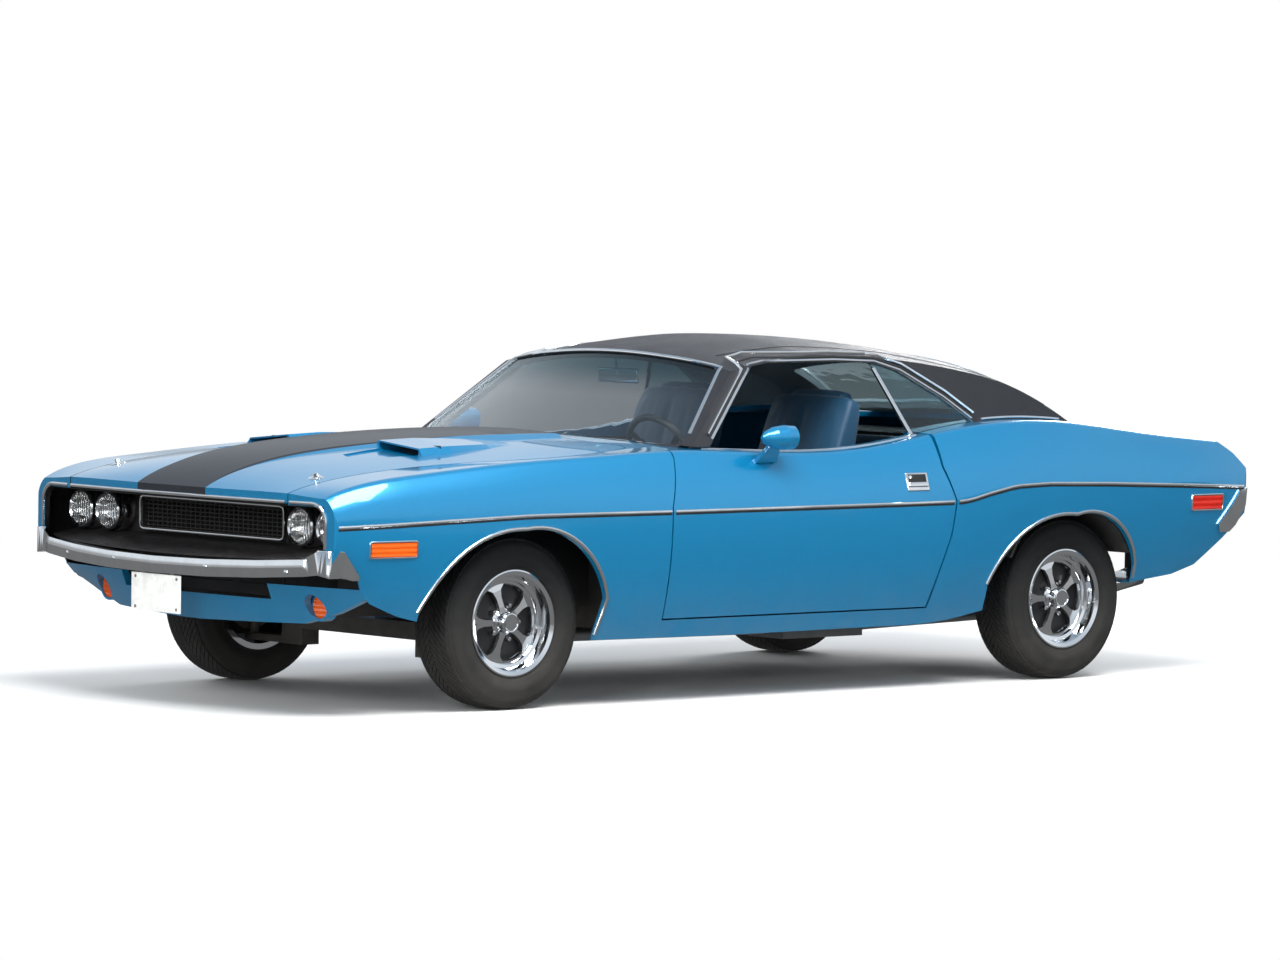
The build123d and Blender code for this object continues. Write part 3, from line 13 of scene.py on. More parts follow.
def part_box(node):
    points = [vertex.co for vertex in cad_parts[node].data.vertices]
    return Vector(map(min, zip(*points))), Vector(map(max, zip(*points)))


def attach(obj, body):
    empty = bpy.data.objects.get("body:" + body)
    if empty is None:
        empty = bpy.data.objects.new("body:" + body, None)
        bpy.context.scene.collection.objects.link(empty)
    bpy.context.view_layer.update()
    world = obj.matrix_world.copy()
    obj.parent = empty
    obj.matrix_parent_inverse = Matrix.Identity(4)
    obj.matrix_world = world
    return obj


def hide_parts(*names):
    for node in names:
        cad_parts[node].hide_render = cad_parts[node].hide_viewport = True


bl_info = {
    "name": "Hardtop muscle car",
    "version": (1, 0, 0),
    "blender": (4, 5, 0),
    "location": "View3D > Sidebar > Car",
    "description": "Paint, trim, glass, lamps, tyres and cabin of a two-door hardtop",
    "category": "Object",
}

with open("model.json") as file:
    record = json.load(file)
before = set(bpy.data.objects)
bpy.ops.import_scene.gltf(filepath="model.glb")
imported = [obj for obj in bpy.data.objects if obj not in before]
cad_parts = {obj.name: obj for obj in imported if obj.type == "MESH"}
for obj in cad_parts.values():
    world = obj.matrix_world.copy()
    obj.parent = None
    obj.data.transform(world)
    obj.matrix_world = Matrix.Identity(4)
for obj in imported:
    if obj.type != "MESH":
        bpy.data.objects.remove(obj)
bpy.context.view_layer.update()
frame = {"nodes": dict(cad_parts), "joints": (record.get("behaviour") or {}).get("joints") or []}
NODES = frame["nodes"]
JOINTS = {joint["name"]: joint for joint in frame["joints"]}
FRONT_AXLE, _, WHEEL_Z = JOINTS["spin_front_left"]["pos_m"]
REAR_AXLE = JOINTS["spin_rear_left"]["pos_m"][0]
SIDES = (("left", 1), ("right", -1))
# Columns: wheel, x of its axle, side, distance of its middle from the car's
WHEELS = [(f"{end}_{label}", axle, side, abs(JOINTS[f"spin_{end}_{label}"]["pos_m"][1]))
          for end, axle in (("front", FRONT_AXLE), ("rear", REAR_AXLE)) for label, side in SIDES]
FORWARD = Vector((1, 0, 0))
BACKWARD = Vector((-1, 0, 0))
UP = Vector((0, 0, 1))
DOWN = Vector((0, 0, -1))
# Where rays start: ahead of or behind the car, beside it, over the body and over the roof
AHEAD, BESIDE, OVER_BODY, OVER_ROOF = 3.0, 1.2, 1.5, 2.0

# The photograph's camera, turned about the car
CAMERA_PLACE = (15.470, 17.746, 1.882)
CAMERA_YAW = math.radians(-130.9)
CAMERA_PITCH = math.radians(-2.71)
CAMERA_ROLL = math.radians(0.85)
CAMERA_LENS = 170.8


# Choices

def tone(red, green, blue):
    """Linear colour from screen values of 0 to 255."""
    return tuple((value / 255) ** 2.2 for value in (red, green, blue))


def colour_choice(name, note, *screen):
    """Colour for the sidebar."""
    return FloatVectorProperty(name=name, description=note, subtype="COLOR", default=tone(*screen))


def size_choice(name, note, size):
    """Length for the sidebar."""
    return FloatProperty(name=name, description=note, subtype="DISTANCE", default=size)


class CarColours(bpy.types.PropertyGroup):
    """Colours that a new owner would choose."""
    paint: colour_choice("Paint", "Body colour", 0, 122, 170)
    stripe: colour_choice("Stripe", "Hood stripe", 26, 29, 35)
    top: colour_choice("Vinyl top", "Roof covering", 27, 28, 32)
    cabin: colour_choice("Cabin", "Seats and panels", 15, 62, 88)
    trim: colour_choice("Side trim", "Side and arch mouldings", 232, 236, 238)


class CarTrim(bpy.types.PropertyGroup):
    """Sizes of the trim."""
    moulding_width: size_choice("Moulding width", "Bright side moulding", 0.011)
    lip_width: size_choice("Arch lip width", "Bright lip round each arch", 0.014)
    stripe_front: size_choice("Stripe half width in front", "Half width of the stripe at the nose", 0.205)
    stripe_rear: size_choice("Stripe half width behind", "Half width of the stripe at the windshield", 0.325)
    tread_depth: size_choice("Tread depth", "Depth of the tyre's grooves", 0.008)


class CarStudio(bpy.types.PropertyGroup):
    """Floor and light."""
    floor: colour_choice("Floor", "Floor colour", 226, 226, 224)
    key_power: FloatProperty(name="Key light", description="Power of the main lamp", unit="POWER",
                             default=900.0)


# Shader nodes

def feed(node, inputs):
    """Sets some inputs of a node, or links those that are given a socket."""
    for key, value in inputs.items():
        if isinstance(value, bpy.types.NodeSocket):
            node.id_data.links.new(value, node.inputs[key])
        else:
            node.inputs[key].default_value = value


def put(kind, inputs, **settings):
    """New node in the tree of the sockets that it takes."""
    tree = next(value.id_data for value in inputs.values() if isinstance(value, bpy.types.NodeSocket))
    node = tree.nodes.new(kind)
    for key, value in settings.items():
        setattr(node, key, value)
    feed(node, inputs)
    return node


def maths(operation, *values, clamp=False):
    """Output of one Math node."""
    inputs = dict(enumerate(values))
    return put("ShaderNodeMath", inputs, operation=operation, use_clamp=clamp).outputs[0]


def times(first, second):
    """Product of two values."""
    return maths("MULTIPLY", first, second)


def inverse(mask):
    """1 where a mask is 0 and 0 where it is 1."""
    return maths("SUBTRACT", 1.0, mask)


def mixed(factor, first, second):
    """Colour between two colours."""
    return put("ShaderNodeMix", {0: factor, 6: first, 7: second}, data_type="RGBA").outputs[2]


def blended(factor, first, second):
    """Node that mixes the first outputs of two shader nodes."""
    return put("ShaderNodeMixShader", {0: factor, 1: first.outputs[0], 2: second.outputs[0]})


def band(value, low, high):
    """0 below the low value, 1 over the high one, smooth between."""
    return put("ShaderNodeMapRange", {"Value": value, "From Min": low, "From Max": high},
               interpolation_type="SMOOTHSTEP").outputs["Result"]


def split(vector):
    """X, Y and Z of a vector."""
    return put("ShaderNodeSeparateXYZ", {0: vector}).outputs


def noise(place, scale, **settings):
    """Soft noise of a scale."""
    return put("ShaderNodeTexNoise", {"Vector": place, "Scale": scale, **settings}).outputs[0]


def rgba(colour):
    """Four numbers for a colour socket."""
    return (*colour, 1.0)


def shaded(colour, share, lift=0.0):
    """Colour made darker or lighter."""
    return tuple(value * share + lift for value in colour)


SOCKETS = {"Place": "Vector", "Scale": "Float", "Amount": "Float", "Mask": "Float", "Height": "Float",
           "Colour": "Color", "Second": "Color"}


def effect(name, inputs, outputs, build):
    """Shared effect as a node group, made once."""
    tree = bpy.data.node_groups.get(name)
    if tree is None:
        tree = bpy.data.node_groups.new(name, "ShaderNodeTree")
        for way, labels in (("INPUT", inputs), ("OUTPUT", outputs)):
            for label in labels.split():
                tree.interface.new_socket(name=label, in_out=way, socket_type="NodeSocket" + SOCKETS[label])
        made = build(tree.nodes.new("NodeGroupInput").outputs)
        feed(tree.nodes.new("NodeGroupOutput"), made)
    return tree


def mottled(source):
    """Slow change of colour and of gloss over a surface."""
    spots = band(noise(source["Place"], source["Scale"], Detail=5.0, Roughness=0.6), 0.35, 0.65)
    amount = times(spots, source["Amount"])
    return {"Colour": mixed(amount, source["Colour"], source["Second"]), "Mask": spots}


def grained(source):
    """Height of a fine leather-like grain."""
    cells = put("ShaderNodeTexVoronoi", {"Vector": source["Place"], "Scale": source["Scale"]},
                feature="DISTANCE_TO_EDGE").outputs["Distance"]
    fine = noise(source["Place"], source["Scale"], Detail=3.0)
    return {"Height": maths("MULTIPLY_ADD", fine, band(cells, 0.0, 0.35))}


def dusty(source):
    """Road dust that thins out upwards."""
    low = inverse(band(split(source["Place"])[2], 0.0, 0.55))
    patches = times(low, noise(source["Place"], 9.0, Detail=6.0))
    mask = maths("MULTIPLY", patches, source["Amount"], clamp=True)
    return {"Colour": mixed(mask, source["Colour"], rgba(tone(150, 142, 130))), "Mask": mask}


def woven(source):
    """Height of a loop pile or a plain weave."""
    inputs = {"Vector": source["Place"], "Scale": source["Scale"], "Distortion": 1.5}
    waves = [put("ShaderNodeTexWave", inputs, bands_direction=axis).outputs[1] for axis in "XY"]
    return {"Height": times(*waves)}


MOTTLE = ("mottle", "Place Scale Colour Second Amount", "Colour Mask", mottled)
GRAIN = ("grain", "Place Scale", "Height", grained)
DUST = ("dust", "Place Colour Amount", "Colour Mask", dusty)
WEAVE = ("weave", "Place Scale", "Height", woven)


def use(recipe, **inputs):
    """Outputs of a shared effect placed in a material."""
    return put("ShaderNodeGroup", inputs, node_tree=effect(*recipe)).outputs


def spotted(at, scale, colour, share, amount, lift=0.0):
    """Colour with spots that are darker or lighter by a share, and the mask of the spots."""
    return use(MOTTLE, Place=at["Object"], Scale=scale, Colour=rgba(colour),
               Second=rgba(shaded(colour, share, lift)), Amount=amount)


def finished(shader, colour, spots, gain, roughness):
    """Gives the shader its colour, and a roughness that grows with the spots."""
    feed(shader, {"Base Color": colour,
                  "Roughness": maths("MULTIPLY_ADD", spots["Mask"], gain, roughness)})


def bumped(shader, height, strength, distance):
    """Bump from a height."""
    node = put("ShaderNodeBump", {"Height": height, "Strength": strength, "Distance": distance})
    feed(shader, {"Normal": node.outputs[0]})


# Makers of the materials. Each gets the shader, and the place and normal on the piece

STRIPE_FRONT_X = FRONT_AXLE + 0.93
STRIPE_LENGTH = 1.72
# Inside of the recess that holds the lamps, which is black: half width, low and high, and its rear end
RECESS = (0.8487, 0.5395, 0.7568)
RECESS_REAR_X = FRONT_AXLE + 0.5
# Below this height the faces towards the car's middle get a painted shade of near black, which is also the
# black of the lamps' recess
SHADE_BELOW_Z, RECESS_BLACK_AND_SHADE = 0.62, tone(24, 24, 26)
# Limits of a normal's upward share on the stripe, and of its outward share times y on a back with painted
# shade
STRIPE_UPWARD, BACK_OUTWARD = -0.5, -0.3
PAINT_METALLIC = 0.45
CHROME = (0.86, 0.87, 0.88)
CABIN_MIDDLE = (FRONT_AXLE - 1.75, 0.0, 0.7)


def painted(shader, at, colour, stripe=None, hollow=None, recess=False):
    """Metallic enamel under clear lacquer, with a satin stripe, a black back and a black recess if asked."""
    place = at["Object"]
    x, y, z = split(place)
    flake = put("ShaderNodeTexVoronoi", {"Vector": place, "Scale": 900.0}).outputs["Color"]
    sparkle = band(split(flake)[0], 0.2, 1.0)
    tinted = mixed(times(sparkle, 0.35), rgba(colour), rgba(shaded(colour, 0.62)))
    dusted = use(DUST, Place=place, Colour=tinted, Amount=0.35)
    result = dusted["Colour"]
    roughness = maths("MULTIPLY_ADD", dusted["Mask"], 0.5, 0.30)
    feed(shader, {"Coat Roughness": 0.04, "Coat IOR": 1.5, "Metallic": PAINT_METALLIC, "Coat Weight": 1.0})
    if stripe:
        trim = bpy.context.scene.car_trim
        widening = (trim.stripe_rear - trim.stripe_front) / STRIPE_LENGTH
        reach = maths("MULTIPLY_ADD", x, -widening, trim.stripe_front + widening * STRIPE_FRONT_X)
        beyond = maths("SUBTRACT", maths("ABSOLUTE", y), reach)
        upper = maths("GREATER_THAN", split(at["Normal"])[2], STRIPE_UPWARD)
        inside = times(inverse(band(beyond, -0.001, 0.001)), upper)
        outside = inverse(inside)
        result = mixed(inside, result, rgba(stripe))
        roughness = maths("MAXIMUM", roughness, times(inside, 0.52))
        feed(shader, {"Metallic": times(outside, PAINT_METALLIC),
                      "Coat Weight": maths("MULTIPLY_ADD", outside, 0.85, 0.15)})
    # Painted shade: faces that look towards the car's middle, low down and short of the hollow's x, are near
    # black
    if hollow is not None:
        inner = maths("LESS_THAN", times(split(at["Normal"])[1], y), BACK_OUTWARD)
        under = times(maths("LESS_THAN", z, SHADE_BELOW_Z), maths("LESS_THAN", x, hollow))
        dark = times(inner, under)
        # The lamps' recess is black, and inward faces ahead of its rear end get the same painted shade
        if recess:
            half, low, high = RECESS
            within = maths("LESS_THAN", maths("ABSOLUTE", y), half)
            between = times(maths("GREATER_THAN", z, low), maths("LESS_THAN", z, high))
            nose = maths("MAXIMUM", times(within, between), inner)
            dark = maths("MAXIMUM", dark, times(nose, maths("GREATER_THAN", x, RECESS_REAR_X)))
        light = inverse(dark)
        result = mixed(dark, result, rgba(RECESS_BLACK_AND_SHADE))
        feed(shader, {"Metallic": times(light, PAINT_METALLIC), "Coat Weight": light})
    feed(shader, {"Base Color": result, "Roughness": roughness})
    bumped(shader, noise(place, 160.0), 0.12, 0.0004)


def plated(shader, at, colour=CHROME, roughness=0.07):
    """Polished or plated metal with faint wiping marks."""
    spots = spotted(at, 14.0, colour, 0.8, 0.35)
    feed(shader, {"Metallic": 1.0})
    finished(shader, spots["Colour"], spots, 0.05, roughness)


def coated(shader, at, colour, roughness, grain, depth, metallic=0.0, dust=0.5):
    """Plain paint, plastic or rubber with a fine grain and some dust."""
    spots = spotted(at, 22.0, colour, 1.35, 0.6, 0.004)
    dusted = use(DUST, Place=at["Object"], Colour=spots["Colour"], Amount=dust)
    feed(shader, {"Metallic": metallic})
    finished(shader, dusted["Colour"], spots, 0.12, roughness)
    bumped(shader, use(GRAIN, Place=at["Object"], Scale=grain)["Height"], 0.5, depth)


def leathered(shader, at, colour, grain=520.0):
    """Soft vinyl with a leather grain."""
    spots = spotted(at, 5.0, colour, 0.7, 0.45)
    feed(shader, {"Sheen Weight": 0.15, "Specular IOR Level": 0.45})
    finished(shader, spots["Colour"], spots, 0.14, 0.4)
    bumped(shader, use(GRAIN, Place=at["Object"], Scale=grain)["Height"], 0.6, 0.0006)


def carpeted(shader, at, colour):
    """Loop pile carpet."""
    spots = spotted(at, 60.0, colour, 0.6, 0.8)
    feed(shader, {"Roughness": 0.95, "Sheen Weight": 0.4, "Base Color": spots["Colour"]})
    bumped(shader, use(WEAVE, Place=at["Object"], Scale=120.0)["Height"], 0.8, 0.002)


def glazed(shader, at, colour, shade=None, roughness=0.0, ribs=0.0, clear=1.0):
    """Glass or a lamp's lens. A shade is a tint above a height, and ribs run upright."""
    _, y, z = split(at["Object"])
    film = spotted(at, 3.0, colour, 0.93, 0.5)
    result = film["Colour"]
    if shade:
        tint, low, high = shade
        result = mixed(band(z, low, high), result, rgba(tint))
    feed(shader, {"Transmission Weight": clear, "IOR": 1.46})
    finished(shader, result, film, 0.015, roughness)
    if ribs:
        wave = maths("SINE", times(y, ribs))
        cross = maths("SINE", times(z, ribs * 0.4))
        bumped(shader, maths("ADD", wave, cross), 0.7, 0.002)


def covered_top(shader, at, colour, lining_colour):
    """Grained vinyl outside, pale lining on the faces towards the middle of the cabin."""
    outwards = put("ShaderNodeVectorMath", {0: at["Object"], 1: CABIN_MIDDLE},
                   operation="SUBTRACT").outputs[0]
    facing = put("ShaderNodeVectorMath", {0: outwards, 1: at["Normal"]},
                 operation="DOT_PRODUCT").outputs["Value"]
    spots = spotted(at, 4.0, colour, 1.5, 0.5)
    result = mixed(maths("LESS_THAN", facing, 0.0), spots["Colour"], rgba(lining_colour))
    feed(shader, {"Specular IOR Level": 0.4})
    finished(shader, result, spots, 0.08, 0.42)
    bumped(shader, use(GRAIN, Place=at["Object"], Scale=330.0)["Height"], 0.7, 0.0012)


# Part of a wheel that is black: within this radius, and no further out than this
WHEEL_DARK_RADIUS, WHEEL_DARK_OUT = 0.1415, 0.0375


def spoked(shader, at, axle_x, side, track):
    """Chrome spokes and rim over a satin black disc."""
    x, y, z = split(at["Object"])
    across = maths("MULTIPLY_ADD", y, side, -track)
    squares = [maths("POWER", maths("SUBTRACT", value, middle), 2.0)
               for value, middle in ((x, axle_x), (z, WHEEL_Z))]
    radius = maths("SQRT", maths("ADD", *squares))
    dark = times(maths("LESS_THAN", across, WHEEL_DARK_OUT), maths("LESS_THAN", radius, WHEEL_DARK_RADIUS))
    feed(shader, {"Base Color": mixed(dark, (0.84, 0.85, 0.86, 1), (0.012, 0.012, 0.013, 1)),
                  "Metallic": inverse(dark), "Roughness": maths("MULTIPLY_ADD", dark, 0.4, 0.08)})


def new_finish(name, maker, *settings):
    """Material that a maker sets up."""
    material = bpy.data.materials.new(name)
    material.use_nodes = True
    nodes = material.node_tree.nodes
    maker(nodes["Principled BSDF"], nodes.new("ShaderNodeTexCoord").outputs, *settings)
    return material


def recipes():
    """Maker and settings of each material."""
    choice = bpy.context.scene.car_colours
    paint, cabin = choice.paint, choice.cabin
    return {
        "paint": (painted, paint),
        # These two paints give their low inward faces a painted shade of near black
        "fender_paint": (painted, paint, None, FRONT_AXLE + 2, True),
        "quarter_paint": (painted, paint, None, REAR_AXLE + 0.6),
        "hood_paint": (painted, paint, choice.stripe),
        "vinyl_top": (covered_top, choice.top, tone(168, 176, 180)),
        "chrome": (plated,),
        "bright_trim": (plated, choice.trim, 0.22),
        "black_paint": (coated, tone(26, 26, 28), 0.42, 900.0, 0.0001),
        "grille_paint": (coated, tone(38, 36, 36), 0.5, 900.0, 0.0001, 0.3),
        "under_paint": (coated, tone(44, 43, 42), 0.8, 120.0, 0.0015, 0.0, 0.8),
        "cast_iron": (coated, tone(84, 78, 74), 0.6, 260.0, 0.0008, 0.6, 0.6),
        "engine_paint": (coated, tone(52, 72, 92), 0.45, 200.0, 0.0005, 0.0, 0.3),
        "steel": (plated, tone(150, 148, 144), 0.38),
        "tank_metal": (plated, tone(140, 142, 144), 0.45),
        "rubber": (coated, tone(17, 17, 18), 0.74, 300.0, 0.0003, 0.0, 0.12),
        # Dark finish of gaskets, handle wells and dials, and of the strips that paint the shadows under the
        # side mouldings and beside the drip rails
        "gasket": (coated, tone(22, 22, 23), 0.6, 500.0, 0.0002),
        "dark_plastic": (coated, tone(28, 28, 30), 0.5, 500.0, 0.0004),
        "plate_white": (coated, tone(222, 222, 218), 0.4, 300.0, 0.0001),
        "cabin_vinyl": (leathered, cabin),
        "cabin_panel": (leathered, shaded(cabin, 0.8), 300.0),
        "carpet": (carpeted, shaded(cabin, 0.55)),
        "windshield_glass": (glazed, (0.90, 0.95, 0.96), (tone(96, 140, 150), 1.10, 1.235)),
        "side_glass": (glazed, tone(196, 222, 228)),
        "lamp_glass": (glazed, (0.95, 0.96, 0.96), None, 0.0, 520.0),
        "lamp_mirror": (plated, (0.9, 0.9, 0.9), 0.12),
        "mirror_glass": (plated, (0.93, 0.94, 0.95), 0.01),
        "amber_lens": (glazed, tone(232, 92, 14), None, 0.12, 900.0, 0.2),
        "red_lens": (glazed, tone(196, 34, 18), None, 0.1, 700.0, 0.2),
    }


FINISHES = {}


def finish_of(name):
    """A material by its plain name, made when it is first asked for."""
    if name not in FINISHES:
        FINISHES[name] = new_finish(name, *recipes()[name])
    return FINISHES[name]


# CAD nodes that wear each finish, without their side
NODE_FINISHES = {
    "hood_paint": "hood", "fender_paint": "fender", "quarter_paint": "quarter",
    "paint": "cowl deck_panel trunk_lid door sills mirror front_valance tail_panel",
    "vinyl_top": "roof", "windshield_glass": "windshield", "side_glass": "rear_glass",
    "chrome": "front_bumper rear_bumper", "grille_paint": "grille", "lamp_glass": "headlamps",
    "amber_lens": "amber_lamps", "red_lens": "red_lamps", "under_paint": "floor_pan",
    "black_paint": "inner_fenders front_suspension", "engine_paint": "engine",
    "cast_iron": "knuckle rear_axle", "steel": "leaf_springs", "tank_metal": "exhaust fuel_tank",
    "cabin_vinyl": "dashboard seats", "dark_plastic": "steering_wheel console",
    "rubber": "tyre_front tyre_rear",
}


def dress_node(node, material):
    """Gives a CAD node its material."""
    slots = NODES[node].data.materials
    slots.clear()
    slots.append(material)


# Mesh work

TREES = {}
# Points closer than this are one
SAME = 1e-5
# Steps of a rounded corner
CORNER_STEPS = 5


def surface(nodes):
    """Search tree over the meshes of the CAD nodes named in a string."""
    if nodes not in TREES:
        corners, faces = [], []
        for node in nodes.split():
            mesh = NODES[node].data
            start = len(corners)
            corners += [vertex.co.copy() for vertex in mesh.vertices]
            faces += [[start + index for index in face.vertices] for face in mesh.polygons]
        TREES[nodes] = BVHTree.FromPolygons(corners, faces)
    return TREES[nodes]


def touch(nodes, start, cast):
    """Where a ray first meets the nodes, with the surface's outward normal."""
    start, cast = Vector(start), Vector(cast).normalized()
    place, normal, _, _ = surface(nodes).ray_cast(start, cast)
    if place is None:
        raise RuntimeError(f"nothing of {nodes} lies along {tuple(cast)} from {tuple(start)}")
    return place, (normal if normal.dot(cast) < 0 else -normal)


def run(places, outs, closed=False):
    """Stations along a line: place, direction across and direction out."""
    stations = []
    last = len(places) - 1
    for index, (place, out) in enumerate(zip(places, outs)):
        before = places[index - 1 if index or closed else 0]
        after = places[(index + 1) % len(places) if index < last or closed else last]
        along = (after - before).normalized()
        across = along.cross(out).normalized()
        stations.append((place, across, across.cross(along).normalized()))
    return stations


def draped(nodes, starts, cast, closed=False):
    """Stations where rays meet the nodes."""
    hits = [touch(nodes, start, cast) for start in starts]
    return run([place for place, _ in hits], [normal for _, normal in hits], closed)


def spaced(points, step, closed=False):
    """Points at even steps along a line of points."""
    points = [Vector(point) for point in points]
    if closed:
        points.append(points[0].copy())
    result = []
    for start, end in zip(points, points[1:]):
        count = max(1, round((end - start).length / step))
        result += [start.lerp(end, index / count) for index in range(count)]
    return result if closed else result + [points[-1]]


def faced(form):
    """Turns all faces of a form outwards."""
    bmesh.ops.recalc_face_normals(form, faces=form.faces)
    return form


def swept(stations, profile, closed=False):
    """Profile of (across, out) points carried along the stations."""
    form = bmesh.new()
    order = form.verts.layers.int.new("order")
    ends, edges = [], []
    for index, (place, across, out) in enumerate(stations + (stations[:1] if closed else [])):
        if index == 0:
            end = [form.verts.new(place) for _ in profile]
            edges = [form.edges.new((end[i - 1], end[i])) for i in range(len(end))]
            for number, vertex in enumerate(end):
                vertex[order] = number
        else:
            made = bmesh.ops.extrude_edge_only(form, edges=edges)["geom"]
            end = sorted((item for item in made if isinstance(item, bmesh.types.BMVert)),
                         key=lambda vertex: vertex[order])
            newest = set(end)
            edges = [item for item in made if isinstance(item, bmesh.types.BMEdge)
                     and set(item.verts) <= newest]
        for vertex, (sideways, outwards) in zip(end, profile):
            vertex.co = place + across * sideways + out * outwards
        ends = [ends[0] if ends else end, end]
    if closed:
        bmesh.ops.remove_doubles(form, verts=form.verts, dist=SAME)
    else:
        for end in ends:
            form.faces.new(end)
    return faced(form)


def strip(nodes, starts, cast, profile, step=None, closed=False):
    """Profile carried over some nodes, where rays from a line meet them."""
    starts = spaced(starts, step, closed) if step else starts
    return swept(draped(nodes, starts, cast, closed), profile, closed)


def side_strip(nodes, side, line, profile, step=None, closed=False):
    """Strip on one side of the car, along a line of x and height."""
    starts = [(x, side * BESIDE, z) for x, z in line]
    return strip(nodes, starts, (0, -side, 0), profile, step, closed)


def lathe(profile, steps=48):
    """Closed or open profile of (radius, height) points turned about Z."""
    form = bmesh.new()
    verts = [form.verts.new((radius, 0.0, height)) for radius, height in profile]
    edges = [form.edges.new(pair) for pair in zip(verts, verts[1:])]
    bmesh.ops.spin(form, geom=verts + edges, cent=(0, 0, 0), axis=(0, 0, 1), dvec=(0, 0, 0),
                   angle=math.tau, steps=steps, use_merge=True)
    bmesh.ops.remove_doubles(form, verts=form.verts, dist=SAME)
    return faced(form)


def bead(width, height, base=0.0015):
    """Rounded moulding profile that sits a little in the surface."""
    half = width / 2
    return [(-half, -base), (-half, height * 0.45), (-half * 0.62, height * 0.9), (0, height),
            (half * 0.62, height * 0.9), (half, height * 0.45), (half, -base)]


def moved(form, place, turn=None):
    """Turns a form about the origin and moves it to its place."""
    matrix = Matrix.Translation(place) @ (turn or Matrix.Identity(4))
    bmesh.ops.transform(form, matrix=matrix, verts=form.verts)
    return form


def block(size, place, radius=0.0):
    """Box of a size at a place, with rounded edges."""
    form = bmesh.new()
    bmesh.ops.create_cube(form, size=1.0)
    bmesh.ops.scale(form, vec=size, verts=form.verts)
    if radius:
        bmesh.ops.bevel(form, geom=form.edges[:], offset=radius, offset_type="OFFSET", segments=3,
                        profile=0.5, affect="EDGES", clamp_overlap=True, material=-1)
    return moved(form, place)


def placed(form, place, out, up=UP):
    """Moves a form drawn about the origin, with Z out of the surface, to its place."""
    out = Vector(out).normalized()
    sideways = Vector(up).cross(out).normalized()
    return moved(form, place, Matrix((sideways, out.cross(sideways), out)).transposed().to_4x4())


def joined(*forms):
    """Several forms as one."""
    whole = bmesh.new()
    for form in forms:
        mesh = bpy.data.meshes.new("part")
        form.to_mesh(mesh)
        form.free()
        whole.from_mesh(mesh)
        bpy.data.meshes.remove(mesh)
    return whole


def cad_form(node):
    """Welded copy of a CAD node's mesh."""
    form = bmesh.new()
    form.from_mesh(NODES[node].data)
    bmesh.ops.remove_doubles(form, verts=form.verts, dist=SAME)
    return form


def new_object(name, form, material):
    """Object made of a form, in the scene."""
    mesh = bpy.data.meshes.new(name)
    form.to_mesh(mesh)
    form.free()
    mesh.materials.append(material)
    made = bpy.data.objects.new(name, mesh)
    bpy.context.scene.collection.objects.link(made)
    return made


def add_piece(name, form, finish="chrome", body="body", replaces=(), smooth=35.0):
    """Object made of a form, which rides on a body."""
    piece = new_object(name, form, finish_of(finish))
    piece.data.shade_smooth()
    piece.data.set_sharp_from_angle(angle=math.radians(smooth))
    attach(piece, body)
    if replaces:
        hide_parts(*replaces)
    return piece


def rectangle(left, right, low, high, grow=0.0):
    """Corners of a flat rectangle, grown on all sides."""
    left, right, low, high = left - grow, right + grow, low - grow, high + grow
    return [(left, low), (right, low), (right, high), (left, high)]


def rounded(points, radius):
    """Closed flat outline with rounded corners."""
    result = []
    for index, point in enumerate(points):
        corner = Vector(point)
        before = (Vector(points[index - 1]) - corner).normalized()
        after = (Vector(points[(index + 1) % len(points)]) - corner).normalized()
        reach = radius / math.tan(before.angle(after) / 2)
        start, end = corner + before * reach, corner + after * reach
        for step in range(CORNER_STEPS + 1):
            share = step / CORNER_STEPS
            line = start.lerp(end, share)
            result.append(line + (corner - line) * (4 * share * (1 - share)) * 0.5)
    return result


def drawn_out(line, grow):
    """Flat line moved sideways, outwards for one that runs rearwards over an opening."""
    result = []
    for index, (across, up) in enumerate(line):
        before, after = line[max(index - 1, 0)], line[min(index + 1, len(line) - 1)]
        along = Vector((after[0] - before[0], after[1] - before[1])).normalized()
        result.append((across + along.y * grow, up - along.x * grow))
    return result


def both_halves(half):
    """Outline from its left half, which may hold a point on the centre line."""
    return list(half) + [(-y, z) for y, z in reversed(half) if y]


def arc_through(first, middle, last, count):
    """Points on the circle through three flat points."""
    a, b, c = complex(*first), complex(*middle), complex(*last)
    ratio = (c - a) / (b - a)
    centre = a + (b - a) * 1j * (abs(ratio) ** 2 - ratio) / (2 * ratio.imag)
    sweep, reached = (cmath.phase((point - centre) / (a - centre)) % math.tau for point in (c, b))
    if reached >= sweep:
        sweep -= math.tau
    points = [centre + (a - centre) * cmath.rect(1, sweep * index / count) for index in range(count + 1)]
    return [(point.real, point.imag) for point in points]


def hoop(inner, outer, low, high):
    """Profile of a rounded ring about Z."""
    middle, shoulder = (inner + outer) / 2, low + (high - low) * 0.6
    return [(inner, low), (outer, low), (outer, shoulder), (middle, high), (inner, shoulder), (inner, low)]


def stud(radius, height):
    """Domed bolt head about Z, a little sunk."""
    return lathe([(0, -0.002), (radius, -0.002), (radius, height * 0.4), (radius * 0.7, height * 0.85),
                  (0, height)], 16)


# Side trim. Columns: x and height of the crease that the moulding follows
CREASE = ((2.289, 0.685), (1.816, 0.700), (1.433, 0.711), (0.758, 0.711), (-0.350, 0.714),
          (-0.683, 0.716), (-0.753, 0.721), (-0.858, 0.745), (-0.996, 0.771), (-1.179, 0.777),
          (-1.506, 0.770), (-1.950, 0.755), (-2.300, 0.741))
CREASE_STEP = 0.04
